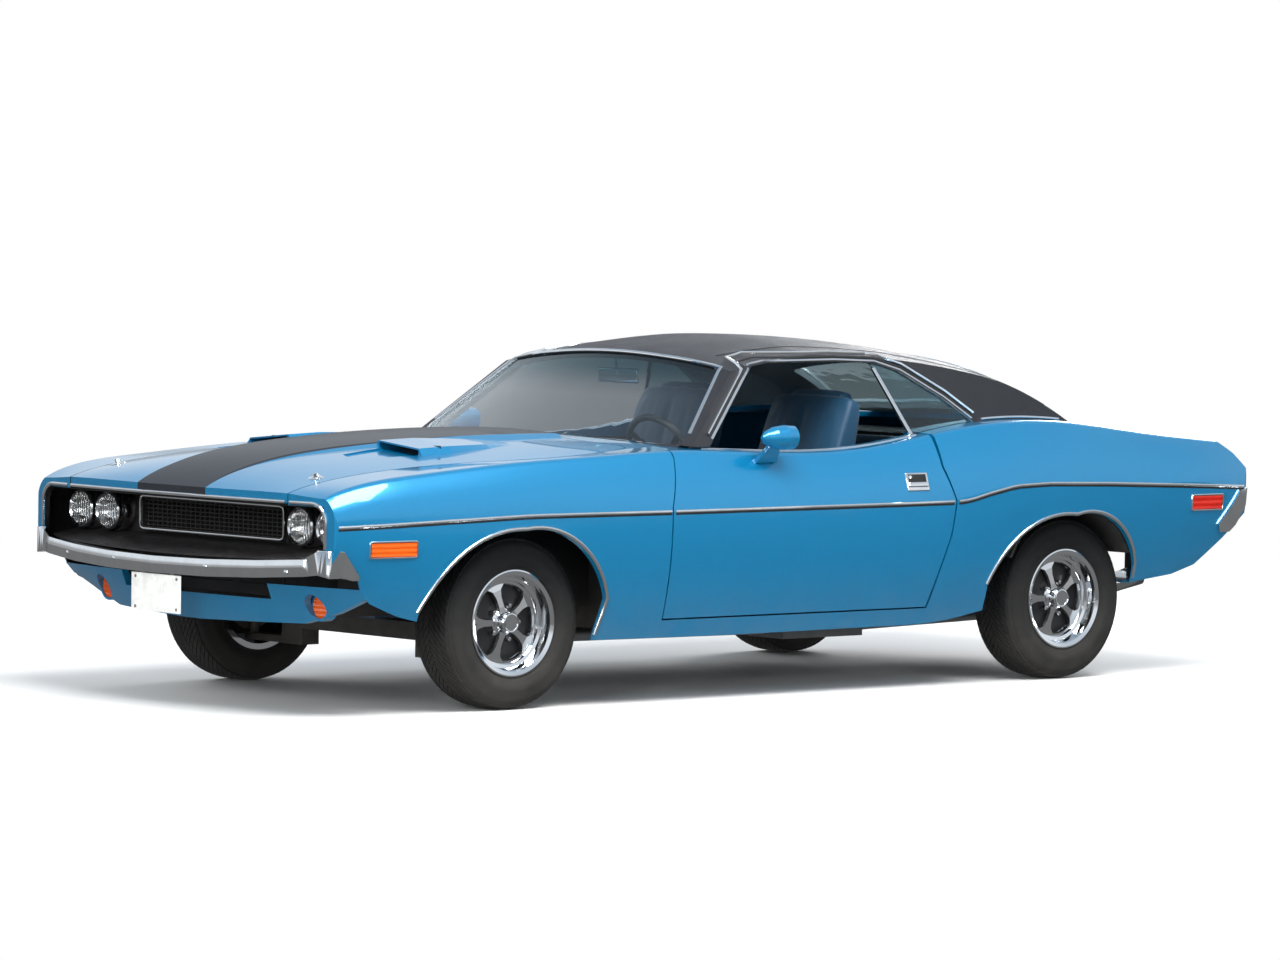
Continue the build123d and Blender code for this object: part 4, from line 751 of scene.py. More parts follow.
# Where the door's moulding ends and the quarter's starts, and how far each keeps from its end
DOOR_MOULDING_REAR, QUARTER_MOULDING_FRONT, MOULDING_GAP = -0.673, -0.690, 0.004
# Wheel arches. Columns: distance ahead of the axle, height over the wheel centre
FRONT_ARCH = ((0.478, 0.055), (0.257, 0.288), (0.018, 0.340), (-0.215, 0.292), (-0.369, 0.083))
REAR_ARCH = ((0.476, 0.072), (0.317, 0.261), (0.027, 0.329), (-0.233, 0.271), (-0.326, 0.130))
# Where each arch runs out below its rear end
FRONT_TUCK, REAR_TUCK = (-0.329, -0.054), (-0.329, 0.072)


def crease_height(x):
    """Height of the crease at one place along the car."""
    for (x1, z1), (x2, z2) in zip(CREASE, CREASE[1:]):
        if x2 <= x <= x1:
            return z1 + (z2 - z1) * (x1 - x) / (x1 - x2)
    return CREASE[-1][1]


def crease_run(start, end, drop):
    """Points of x and height along the crease, or a little below it."""
    count = max(2, round(abs(start - end) / CREASE_STEP))
    places = [start + (end - start) * index / count for index in range(count + 1)]
    return [(x, crease_height(x) - drop) for x in places]


def add_side_mouldings():
    """Bright moulding over a black line along each side, parted at the door."""
    width = bpy.context.scene.car_trim.moulding_width
    # Columns: name, drop below the crease, width, height, finish
    # The line row is a black strip that paints the moulding's shadow below it
    kinds = (("moulding", 0.0, width, 0.005, "bright_trim"),
             ("line", width / 2 + 0.0035, 0.007, 0.0022, "gasket"))
    for label, side in SIDES:
        door_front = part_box(f"door_{label}")[1].x
        runs = (("fender", CREASE[0][0], door_front - 0.012, "body"),
                ("door", door_front - 0.024, DOOR_MOULDING_REAR, f"door_{label}"),
                ("quarter", QUARTER_MOULDING_FRONT, CREASE[-1][0], "body"))
        for part, start, end, body in runs:
            for kind, drop, wide, high, finish in kinds:
                line = crease_run(start - MOULDING_GAP, end + MOULDING_GAP, drop)
                form = side_strip(f"{part}_{label}", side, line, bead(wide, high))
                add_piece(f"side_{kind}_{part}_{label}", form, finish, body)


def arch_points(axle, arch, tuck, grow):
    """Points along an arch, drawn out from its edge."""
    front, front_mid, top, rear_mid, rear = arch
    line = arc_through(front, front_mid, top, 14)[:-1] + arc_through(top, rear_mid, rear, 14)
    line += [(rear[0] + (tuck[0] - rear[0]) * share, rear[1] + (tuck[1] - rear[1]) * share)
             for share in (0.35, 0.7, 0.95)]
    return [(axle + ahead, WHEEL_Z + up) for ahead, up in drawn_out(line, grow)]


def add_arch_lips():
    """Bright lip round each wheel arch."""
    width = bpy.context.scene.car_trim.lip_width
    for end, axle, arch, tuck, part in (("front", FRONT_AXLE, FRONT_ARCH, FRONT_TUCK, "fender"),
                                        ("rear", REAR_AXLE, REAR_ARCH, REAR_TUCK, "quarter")):
        points = arch_points(axle, arch, tuck, width * 0.55)
        for label, side in SIDES:
            form = side_strip(f"{part}_{label}", side, points, bead(width, 0.007))
            add_piece(f"arch_lip_{end}_{label}", form, "bright_trim")


# Nose and tail

OPENING_HALF, OPENING_HIGH, OPENING_RADIUS = 0.848, 0.756, 0.058
LIP_OFFSET = 0.010
# The nose's moulding: end of the hood's piece, start of the fender's piece and its foot
HOOD_MOULDING_HALF, LAMP_MOULDING_Y, LAMP_MOULDING_LOW = 0.652, 0.674, 0.607
GRILLE_X, GRILLE_HALF, GRILLE_LOW, GRILLE_HIGH = FRONT_AXLE + 0.725, 0.436, 0.614, 0.736
LAMP_X, LAMP_Z, LAMP_YS = FRONT_AXLE + 0.770, 0.673, (0.585, 0.752)
SIGNAL_PLACE = (FRONT_AXLE + 0.716, 0.640, 0.388)
# Marker lamps. Columns: panel, low and high x, low and high z
MARKERS = (("fender", FRONT_AXLE + 0.524, FRONT_AXLE + 0.716, 0.580, 0.628),
           ("quarter", REAR_AXLE - 0.800, REAR_AXLE - 0.625, 0.657, 0.709))
BUMPER_BOLTS = (-0.600, -0.250, 0.300, 0.700)
BUMPER_BOLT_Z = 0.519
# Middle line of the front bumper's blade, y and z, and how far its face is crowned
BLADE_MIDDLE = ((0.792, 0.5400), (0.770, 0.5375), (0.550, 0.5245), (0.300, 0.5155), (0.0, 0.512))
BLADE_CROWN, BLADE_HALF = 0.005, 0.0305
PLATE_SIZE = (0.003, 0.300, 0.138)
PLATE_PLACE = Vector((2.404, -0.008, 0.407))
TAIL_LAMP_HALF, TAIL_LAMP_LOW, TAIL_LAMP_HIGH = 0.800, 0.696, 0.772
# Headlamp pieces. Columns: name, finish, slot, profile about the lamp's axis
LAMP_PARTS = (
    ("bowls", "lamp_mirror", "chrome", [
        (0, -0.077), (0.070, -0.077), (0.070, -0.001), (0.063, -0.001), (0.058, -0.012),
        (0.040, -0.034), (0.018, -0.044), (0, -0.046)]),
    ("lenses", "lamp_glass", "lamp_clear", [
        (0, 0.009), (0.025, 0.0075), (0.045, 0.0045), (0.063, -0.001), (0.063, -0.004),
        (0.045, 0.0015), (0.025, 0.0045), (0, 0.006)]),
    ("rings", "chrome", "chrome", hoop(0.0625, 0.0725, -0.010, 0.006)),
    ("bezels", "chrome", "chrome", hoop(0.0735, 0.0815, -0.060, -0.022)))


def add_nose_moulding():
    """Bright moulding along the hood's front edge and down round the lamps."""
    radius = OPENING_RADIUS + LIP_OFFSET
    centre_y, centre_z = OPENING_HALF - OPENING_RADIUS, OPENING_HIGH - OPENING_RADIUS
    top = centre_z + radius
    ends = [(AHEAD, y, top) for y in (-HOOD_MOULDING_HALF, HOOD_MOULDING_HALF)]
    profile = bead(0.014, 0.008)
    add_piece("hood_moulding", strip("hood", ends, BACKWARD, profile, 0.03), body="hood")
    bend = [(centre_y + radius * math.sin(angle), centre_z + radius * math.cos(angle))
            for angle in [math.radians(10 * step) for step in range(10)]]
    line = [(LAMP_MOULDING_Y, top)] + bend + [(centre_y + radius, LAMP_MOULDING_LOW)]
    for label, side in SIDES:
        starts = [(AHEAD, side * y, z) for y, z in line]
        add_piece(f"lamp_moulding_{label}", strip(f"fender_{label}", starts, BACKWARD, profile, 0.02))


def add_headlamps():
    """Four lamps: mirror bowl, lens, retaining ring and outer bezel."""
    for kind, finish, slot, profile in LAMP_PARTS:
        forms = [placed(lathe(profile), (LAMP_X, side * y, LAMP_Z), FORWARD)
                 for _, side in SIDES for y in LAMP_YS]
        replaces = ("headlamps",) if kind == "bowls" else ()
        add_piece("headlamp_" + kind, joined(*forms), finish, "body", replaces)


def add_front_trim():
    """Grille frame, signal rings, marker frames, blank plate and bumper bolts."""
    corners = rectangle(-GRILLE_HALF, GRILLE_HALF, GRILLE_LOW, GRILLE_HIGH)
    line = [Vector((GRILLE_X, y, z)) for y, z in rounded(corners, 0.022)]
    stations = run(line, [FORWARD] * len(line), True)
    add_piece("grille_frame", swept(stations, bead(0.010, 0.008, 0.006), True))
    x, y, z = SIGNAL_PLACE
    rings = [placed(lathe(hoop(0.0445, 0.052, -0.004, 0.003)), (x, side * y, z), FORWARD)
             for _, side in SIDES]
    add_piece("signal_rings", joined(*rings))
    for panel, *edges in MARKERS:
        outline = rounded(rectangle(*edges, 0.0045), 0.008)
        for label, side in SIDES:
            form = side_strip(f"{panel}_{label}", side, outline, bead(0.008, 0.007), 0.02, True)
            add_piece(f"marker_frame_{panel}_{label}", form)
    bolts = []
    for y in BUMPER_BOLTS:
        place, normal = touch("front_bumper", (AHEAD, y, BUMPER_BOLT_Z), BACKWARD)
        bolts.append(placed(stud(0.010, 0.005), place - FORWARD * 0.0015, normal))
    add_piece("bumper_bolts", joined(*bolts))
    straps = [block((0.004, 0.022, 0.070), PLATE_PLACE + Vector((-0.004, y, 0.055)), 0.001)
              for y in (-0.09, 0.09)]
    add_piece("plate_straps", joined(*straps), "steel")
    add_piece("plate", block(PLATE_SIZE, PLATE_PLACE, 0.001), "plate_white")
    bolts = [placed(stud(0.006, 0.003), PLATE_PLACE + Vector((0.0015, y, z)), FORWARD)
             for y in (-0.125, 0.125) for z in (-0.055, 0.055)]
    add_piece("plate_bolts", joined(*bolts), "steel")


def add_bumper_face():
    """Front bumper with a crowned face on its blade."""
    back = BACKWARD * BLADE_CROWN
    core = moved(cad_form("front_bumper"), back)
    line = [(AHEAD, y, z) for y, z in both_halves(BLADE_MIDDLE)]
    stations = draped("front_bumper", spaced(line, 0.025), BACKWARD)
    stations = [(place + back, across, out) for place, across, out in stations]
    bow = [(BLADE_HALF * step / 6, BLADE_CROWN * (1 - (step / 6) ** 2)) for step in range(-6, 7)]
    face = swept(stations, bow + [(BLADE_HALF, -0.004), (-BLADE_HALF, -0.004)])
    add_piece("bumper_face", joined(core, face), replaces=("front_bumper",))


def add_tail_trim():
    """Bright frame round the tail lamp."""
    corners = rectangle(-TAIL_LAMP_HALF, TAIL_LAMP_HALF, TAIL_LAMP_LOW, TAIL_LAMP_HIGH, 0.005)
    starts = [(-AHEAD, y, z) for y, z in rounded(corners, 0.008)]
    nodes = "tail_panel quarter_left quarter_right"
    add_piece("tail_frame", strip(nodes, starts, FORWARD, bead(0.010, 0.007), 0.04, True))


PIN_PLACE = (FRONT_AXLE + 0.714, 0.600)
PIN_PROFILE = ((0, -0.001), (0.028, -0.001), (0.028, 0.0015), (0.024, 0.003), (0.009, 0.004),
               (0.007, 0.018), (0, 0.020))
# Scoops of the hood: y, x of the dark sheet that paints the shade in each mouth, x of a place in the mouth
# and a height inside it
SCOOP_Y, SCOOP_SHADE_X, SCOOP_MOUTH_X, SCOOP_MOUTH_Z = 0.392, FRONT_AXLE + 0.066, FRONT_AXLE + 0.09, 0.935
SCOOP_SHADE_SIZE = (0.006, 0.226, 0.036)


def add_hood_dress():
    """Hood pins with their plates, dark mesh in the scoops' mouths."""
    pins, meshes = [], []
    for _, side in SIDES:
        place, normal = touch("hood", (PIN_PLACE[0], side * PIN_PLACE[1], OVER_BODY), DOWN)
        pins.append(placed(lathe(PIN_PROFILE, 24), place, normal))
        pins.append(block((0.004, 0.050, 0.003), place + UP * 0.011, 0.001))
        # Painted shade: a dark sheet stands in each scoop's mouth
        floor, _ = touch("hood", (SCOOP_MOUTH_X, side * SCOOP_Y, SCOOP_MOUTH_Z), DOWN)
        meshes.append(block(SCOOP_SHADE_SIZE, (SCOOP_SHADE_X, side * SCOOP_Y, floor.z + 0.010)))
    add_piece("hood_pins", joined(*pins), body="hood")
    add_piece("scoop_meshes", joined(*meshes), "dark_plastic", "hood")


# Windows. Columns: x ahead of the axle and height of the side window's edge
SIDE_WINDOW = ((FRONT_AXLE - 1.001, 0.960), (FRONT_AXLE - 1.320, 1.232), (FRONT_AXLE - 1.396, 1.243),
               (REAR_AXLE + 1.040, 1.247), (REAR_AXLE + 0.837, 1.240), (REAR_AXLE + 0.717, 1.206),
               (REAR_AXLE + 0.537, 1.103), (REAR_AXLE + 0.427, 1.020))
# Strips round the side window. Columns: name, distance from its edge, width, height, finish
WINDOW_STRIPS = (("window_frame", 0.007, 0.010, 0.005, "chrome"),
                 ("rail_shadow", 0.019, 0.010, 0.003, "gasket"),
                 ("drip_rail", 0.030, 0.010, 0.012, "chrome"))
DIVIDER = ((REAR_AXLE + 0.765, 0.968), (REAR_AXLE + 0.843, 1.220))
# Columns: half of the width and height on the windshield's plane, from its foot to its top
WINDSHIELD = ((0.748, 1.047), (0.600, 1.271), (0.300, 1.268))
WINDSHIELD_BASE = (FRONT_AXLE - 0.722, 0.940)
WINDSHIELD_RUN, WINDSHIELD_RISE = 0.454, 0.340
# Columns: half of the width and x of the rear glass
BACKLIGHT = ((0, REAR_AXLE - 0.225), (0.300, REAR_AXLE - 0.205), (0.585, REAR_AXLE - 0.130),
             (0.505, REAR_AXLE + 0.215))
# How far the mouldings lie from the glass's edge, and how far before the windshield their rays start
GLASS_GROW, BEFORE_GLASS = 0.006, 0.5
BELT_Y, BELT_ENDS = 0.806, (0.500, -0.600)
# Seams of the vinyl top, x and half of the width
SEAM = ((0.130, 0.470), (-0.700, 0.500), (-1.360, 0.735))
# Lower edge of the vinyl top: x of its front end, step, places, and y where its height is taken
TOP_EDGE_X, TOP_EDGE_STEP, TOP_EDGE_PLACES, TOP_EDGE_Y = -0.985, 0.030, 15, 0.815


def add_window_trim():
    """Mouldings round the glass, drip rails, divider strips, belt strips and inside mirror."""
    out = Vector((WINDSHIELD_RISE, 0, WINDSHIELD_RUN)).normalized()
    base_x, base_z = WINDSHIELD_BASE
    corners = []
    for y, z in both_halves(WINDSHIELD):
        y += math.copysign(GLASS_GROW, y)
        z += GLASS_GROW
        x = base_x - (z - base_z) * WINDSHIELD_RUN / WINDSHIELD_RISE
        corners.append(Vector((x, y, z)) + out * BEFORE_GLASS)
    profile = bead(0.014, 0.006)
    add_piece("windshield_moulding", strip("roof", corners, -out, profile, 0.03))
    corners = [(x + (GLASS_GROW if x > REAR_AXLE else -GLASS_GROW),
                y + GLASS_GROW * (y > 0) - GLASS_GROW * (y < 0), OVER_ROOF)
               for y, x in both_halves(BACKLIGHT)]
    add_piece("rear_glass_moulding", strip("roof", corners, DOWN, profile, 0.03, True))
    for label, side in SIDES:
        for kind, grow, wide, high, finish in WINDOW_STRIPS:
            form = side_strip("roof", side, drawn_out(SIDE_WINDOW, grow), bead(wide, high), 0.03)
            add_piece(f"{kind}_{label}", form, finish)
        form = side_strip("rear_glass", side, DIVIDER, bead(0.017, 0.006, 0.006), 0.03)
        add_piece(f"divider_{label}", form)
        starts = [(x, side * BELT_Y, OVER_BODY) for x in BELT_ENDS]
        form = strip(f"door_{label}", starts, DOWN, bead(0.010, 0.005), 0.04)
        add_piece(f"belt_strip_{label}", form, body=f"door_{label}")
    mirror = block((0.012, 0.230, 0.056), (0.215, 0, 1.176), 0.005)
    stem = block((0.010, 0.020, 0.070), (0.222, 0, 1.212), 0.003)
    add_piece("inside_mirror", joined(mirror, stem))


def add_top_seams():
    """Seams of the vinyl top and the bright strip at its lower edge."""
    for label, side in SIDES:
        starts = [(x, side * y, OVER_ROOF) for x, y in SEAM]
        form = strip("roof", starts, DOWN, bead(0.007, 0.0022), 0.03)
        add_piece(f"top_seam_{label}", form, "vinyl_top")
        quarter = f"quarter_{label}"
        line = []
        for step in range(TOP_EDGE_PLACES):
            x = TOP_EDGE_X - TOP_EDGE_STEP * step
            low, _ = touch(quarter, (x, side * TOP_EDGE_Y, OVER_ROOF), DOWN)
            line.append((x, low.z + 0.009))
        add_piece(f"top_edge_{label}", side_strip("roof " + quarter, side, line, bead(0.010, 0.005)))


# Doors

HANDLE_X, HANDLE_Z = -0.490, 0.795
MIRROR_PLACE = (FRONT_AXLE - 1.272, 0.942, 0.975)
MIRROR_PROFILE = ((0, -0.002), (0.041, -0.002), (0.041, 0.001), (0, 0.0015))


def add_door_hardware():
    """Flush handles and mirror glasses."""
    for label, side in SIDES:
        door = f"door_{label}"
        place, normal = touch(door, (HANDLE_X, side * BESIDE, HANDLE_Z), (0, -side, 0))
        handle = joined(block((0.112, 0.072, 0.006), (0, 0, 0), 0.003),
                        block((0.098, 0.020, 0.008), (0, -0.012, 0.006), 0.004),
                        placed(stud(0.009, 0.009), (-0.036, 0.018, 0), UP, (0, 1, 0)))
        add_piece(f"handle_{label}", placed(handle, place, normal), body=door)
        well = block((0.092, 0.034, 0.004), (0, 0.012, 0.0025), 0.002)
        add_piece(f"handle_well_{label}", placed(well, place, normal), "gasket", door)
        x, y, z = MIRROR_PLACE
        glass = placed(lathe(MIRROR_PROFILE), (x, side * y, z), BACKWARD)
        add_piece(f"mirror_glass_{label}", glass, "mirror_glass", door)


# Cabin

SEAT_Y = 0.390
# Where the linings of doors and quarters lie across the car, and how squarely a lined face looks inwards
LINING_YS = (0.755, 0.772)
LEAST_FACING = 0.15
# Dials. Columns: y and radius
DIALS = ((0.250, 0.034), (0.330, 0.040), (0.430, 0.040), (0.510, 0.034))
DIAL_RAY_X, DIAL_Z = -0.400, 0.878
CRANK_X, CRANK_Z = -0.050, 0.690
# A pad's flutes: how much of its length and width they take, and how deep they are
FLUTE_LENGTH, FLUTE_WIDTH, FLUTE_DEPTH = 0.8, 0.72, 0.010


def lining(name, node, low, high, towards, finish, body, thickness=0.004):
    """Thin lining over the faces of a CAD node that look towards a place inside a box."""
    form = cad_form(node)
    for axis in range(3):
        for corner, sign in ((low, -1), (high, 1)):
            normal = Vector((0, 0, 0))
            normal[axis] = sign
            bmesh.ops.bisect_plane(form, geom=form.verts[:] + form.edges[:] + form.faces[:],
                                   plane_co=corner, plane_no=normal, clear_outer=True)
    away = []
    for face in form.faces:
        centre = face.calc_center_median()
        target = Vector((towards[0], math.copysign(towards[1], centre.y), towards[2]))
        if face.normal.dot((target - centre).normalized()) < LEAST_FACING:
            away.append(face)
    bmesh.ops.delete(form, geom=away, context="FACES")
    bmesh.ops.solidify(form, geom=form.faces[:], thickness=-thickness)
    add_piece(name, faced(form), finish, body)


def pad(size, place, puff, flutes=0, lean=None):
    """Soft block with a puffed upper face, fluted if asked, and stood up to face forward if it leans."""
    form = bmesh.new()
    bmesh.ops.create_cube(form, size=2.0)
    bmesh.ops.subdivide_edges(form, edges=form.edges[:], cuts=19, use_grid_fill=True)
    for vertex in form.verts:
        u, v, w = vertex.co
        draw = [1 - 0.10 * (a ** 4) * (b ** 4) - 0.035 * (a ** 8 + b ** 8)
                for a, b in ((v, w), (u, w), (u, v))]
        x, y, z = (u * draw[0] * size[0] / 2, v * draw[1] * size[1] / 2, w * draw[2] * size[2] / 2)
        if w > 0:
            z += puff * w * (1 - u ** 4) * (1 - v ** 4)
            if flutes and abs(u) < FLUTE_LENGTH and abs(v) < FLUTE_WIDTH:
                wave = abs(math.sin(flutes * math.pi * (v / FLUTE_WIDTH + 1) / 2))
                z -= FLUTE_DEPTH * (1 - wave) ** 3 * w
        vertex.co = (x, y, z)
    turn = None if lean is None else Matrix.Rotation(math.radians(90 - lean), 4, "Y")
    moved(form, place, turn)
    return faced(form)


def add_seats():
    """Two high-back bucket seats and the rear bench."""
    x = FRONT_AXLE
    for label, side in SIDES:
        y = side * SEAT_Y
        form = joined(
            pad((0.500, 0.490, 0.150), (x - 1.500, y, 0.425), 0.030, 6),
            pad((0.680, 0.460, 0.095), (x - 1.815, y, 0.775), 0.018, 6, 16),
            pad((0.130, 0.290, 0.080), (x - 1.918, y, 1.060), 0.012, 0, 14),
            block((0.40, 0.34, 0.09), (x - 1.500, y, 0.308), 0.015))
        piece = add_piece(f"front_seat_{label}", form, "cabin_vinyl", "body",
                          ("seats",) if side == 1 else (), 60.0)
        soft = piece.modifiers.new("soft", "SUBSURF")
        soft.levels = soft.render_levels = 1
    form = joined(
        pad((0.470, 1.120, 0.120), (REAR_AXLE + 0.560, 0, 0.465), 0.030, 12),
        pad((0.400, 1.120, 0.110), (REAR_AXLE + 0.335, 0, 0.730), 0.020, 12, 14))
    add_piece("rear_seat", form, "cabin_vinyl", "body", (), 60.0)


def add_cabin_trim():
    """Carpet, side linings, dials and door furniture."""
    lining("carpet", "floor_pan", (-1.000, -0.704, 0.255), (0.760, 0.704, 0.720), (-0.300, 0.400, 1.200),
           "carpet", "body")
    for label, side in SIDES:
        door, quarter, inwards = f"door_{label}", f"quarter_{label}", (0, -side, 0)
        low_y, high_y = sorted(side * y for y in LINING_YS)
        lining(f"door_lining_{label}", door, (-0.600, low_y, 0.330), (0.500, high_y, 0.900),
               (0, 0, 0.6), "cabin_panel", door, 0.003)
        lining(f"quarter_lining_{label}", quarter, (-1.000, low_y, 0.330), (-0.600, high_y, 0.980),
               (-0.8, 0, 0.6), "cabin_panel", "body", 0.003)
        rest = block((0.320, 0.045, 0.050), (-0.220, side * 0.741, 0.600), 0.014)
        add_piece(f"arm_rest_{label}", rest, "cabin_vinyl", door)
        hub = lathe(hoop(0.004, 0.020, -0.010, 0.010))
        crank = joined(placed(hub, (CRANK_X, side * 0.755, CRANK_Z), inwards),
                       block((0.070, 0.006, 0.012), (CRANK_X + 0.032, side * 0.744, CRANK_Z), 0.002),
                       placed(stud(0.010, 0.024), (CRANK_X + 0.064, side * 0.741, CRANK_Z), inwards))
        add_piece(f"crank_{label}", crank, body=door)
    rings, dials = [], []
    for y, radius in DIALS:
        place, normal = touch("dashboard", (DIAL_RAY_X, y, DIAL_Z), FORWARD)
        rings.append(placed(lathe(hoop(radius, radius + 0.005, -0.004, 0.006)), place, normal))
        disc = lathe([(0, -0.002), (radius, -0.002), (radius, 0.002), (0, 0.002)])
        dials.append(placed(disc, place, normal))
    add_piece("dial_rings", joined(*rings))
    add_piece("dials", joined(*dials), "gasket")


# Engine bay and aerial

ENGINE_X = FRONT_AXLE - 0.200
CLEANER_PROFILE = ((0, -0.002), (0.165, -0.002), (0.178, 0.006), (0.178, 0.052), (0.170, 0.060),
                   (0.030, 0.063), (0.008, 0.064), (0.006, 0.078), (0, 0.080))
ANTENNA_PLACE = (0.950, -0.760)
ANTENNA_PROFILE = ((0, -0.002), (0.016, -0.002), (0.014, 0.006), (0.006, 0.010), (0.004, 0.026),
                   (0, 0.027))


def add_engine_dress():
    """Air cleaner, valve covers and radiator core."""
    cleaner = placed(lathe(CLEANER_PROFILE), (ENGINE_X, 0, 0.801), UP, (0, 1, 0))
    add_piece("air_cleaner", cleaner, "black_paint")
    covers = [block((0.520, 0.060, 0.050), (ENGINE_X, side * 0.215, 0.820), 0.014) for _, side in SIDES]
    add_piece("valve_covers", joined(*covers))
    radiator = block((0.045, 0.655, 0.316), (FRONT_AXLE + 0.620, 0, 0.600), 0.004)
    add_piece("radiator", radiator, "black_paint")


def add_antenna():
    """Base and stub of the aerial on the right fender."""
    place, normal = touch("fender_right", (*ANTENNA_PLACE, OVER_BODY), DOWN)
    add_piece("antenna", placed(lathe(ANTENNA_PROFILE, 20), place, normal))


# Wheels

LUGS, LUG_CIRCLE, LUG_OUT = 5, 0.064, 0.034
LUG_PROFILE = ((0, 0), (0.0105, 0), (0.0105, 0.016), (0.008, 0.021), (0, 0.022))
VALVE_RADIUS, VALVE_OUT = 0.1585, 0.058
VALVE_PROFILE = ((0, -0.004), (0.0045, -0.004), (0.0038, 0.020), (0, 0.021))
RIM_RADIUS = 0.198
TREAD_STEPS = 72
RIB_EDGES = (-0.088, -0.060, -0.031, 0.0, 0.031, 0.060, 0.088)
# How far the crown falls to its sides, how close to it a face is tread, how far its blocks slant
CROWN_FALL, TREAD_REACH, TREAD_SLANT = 0.018, 0.02, 1.15
# Side wall. Columns: distance out from the rim, distance in from the side
WALL_FOOT = ((0.0, 0.0125), (0.008, 0.008), (0.016, 0.004), (0.028, 0.0015), (0.031, 0.0),
             (0.050, 0.0), (0.053, 0.001))
# Side wall. Columns: distance in from the tread, distance in from the side
WALL_TOP = ((0.046, 0.003), (0.030, 0.008), (0.024, 0.0105))


def add_wheel_trim():
    """Lug nuts, hub cap rim and valve stems."""
    for wheel, axle, side, track in WHEELS:
        centre, out, body = Vector((axle, side * track, WHEEL_Z)), (0, side, 0), f"wheel_{wheel}"
        forms = [placed(lathe(hoop(0.0285, 0.0355, 0.0850, 0.0885)), centre, out)]
        for index in range(LUGS):
            angle = math.tau * (index + 0.5) / LUGS
            place = Vector((math.cos(angle) * LUG_CIRCLE, side * LUG_OUT, math.sin(angle) * LUG_CIRCLE))
            forms.append(placed(lathe(LUG_PROFILE, 6), centre + place, out))
        add_piece(f"lug_nuts_{wheel}", joined(*forms), body=body, smooth=25.0)
        stem = placed(lathe(VALVE_PROFILE, 12), centre + Vector((VALVE_RADIUS, side * VALVE_OUT, 0)), out)
        add_piece(f"valve_{wheel}", stem, "rubber", body)


def tyre_form(radius, half_width):
    """Tyre about its own centre, axle along Z, with raised tread blocks."""
    depth = bpy.context.scene.car_trim.tread_depth
    low = radius - depth
    crown = [(low - CROWN_FALL * (abs(y) / half_width) ** 4, y) for y in RIB_EDGES]
    wall = [(RIM_RADIUS - 0.016, half_width - 0.0125)]
    wall += [(RIM_RADIUS + out, half_width - inwards) for out, inwards in WALL_FOOT]
    wall += [(radius - inside, half_width - inwards) for inside, inwards in WALL_TOP]
    profile = [(r, -y) for r, y in wall] + crown + [(r, y) for r, y in reversed(wall)]
    form = lathe(profile + profile[:1], TREAD_STEPS)
    for vertex in form.verts:
        if vertex.co.xy.length > low - TREAD_REACH:
            vertex.co = Matrix.Rotation(abs(vertex.co.z) * TREAD_SLANT / radius, 4, "Z") @ vertex.co
    ribs = [face for face in form.faces
            if face.calc_center_median().xy.length > low - TREAD_REACH
            and abs(face.calc_center_median().z) < RIB_EDGES[-1]]
    bmesh.ops.inset_individual(form, faces=ribs, thickness=0.0022, depth=0.0)
    for face in bmesh.ops.extrude_discrete_faces(form, faces=ribs)["faces"]:
        for vertex in face.verts:
            reach = vertex.co.xy.length
            vertex.co.x *= (reach + depth) / reach
            vertex.co.y *= (reach + depth) / reach
    return faced(form)


def add_tyres():
    """Tyres with their tread, in the place of the plain ones."""
    for wheel, _, side, _ in WHEELS:
        node = f"tyre_{wheel}"
        low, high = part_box(node)
        form = placed(tyre_form((high.z - low.z) / 2, (high.y - low.y) / 2), (low + high) / 2, (0, side, 0))
        add_piece(node + "_tread", form, "rubber", f"wheel_{wheel}", (node,))


# Stage

FLOOR_RADIUS = 60.0
# Where the floor begins to fade and is gone
FLOOR_FADE = (3.4, 9.0)
BACKDROP = (1.0, 1.0, 1.0)
# What paint and metal mirror: the floor, the horizon and the sky
MIRRORED_FLOOR = (0.18, 0.185, 0.19)
MIRRORED_HORIZON = (0.38, 0.39, 0.40)
MIRRORED_LOW_SKY = (0.80, 0.86, 0.92)
MIRRORED_HIGH_SKY = (0.34, 0.42, 0.52)
# Heights over which the horizon turns into the low sky, and that into the high one
HORIZON_RISE, SKY_RISE = (0.05, 0.16), (0.25, 0.85)
WORLD_COLOUR, WORLD_STRENGTH = (0.80, 0.86, 0.94), 0.55
# Lamps. Columns: name, place, target, size, share of the key's power, seen in paint and metal
LAMPS = (("key", (1.5, 3.5, 6.5), (0, 0, 0.6), (7.0, 3.0), 1.0, True),
         ("front_fill", (8.5, 4.0, 3.0), (1.0, 0, 0.6), (3.0, 3.0), 0.35, True),
         ("side_fill", (-1.0, 9.0, 2.6), (-0.5, 0, 0.5), (6.0, 1.6), 0.14, False),
         ("rear_fill", (-8.0, -4.0, 4.0), (-1.0, 0, 0.7), (4.0, 3.0), 0.4, True),
         ("far_fill", (1.0, -8.0, 3.5), (0, 0, 0.6), (6.0, 2.0), 0.32, False))


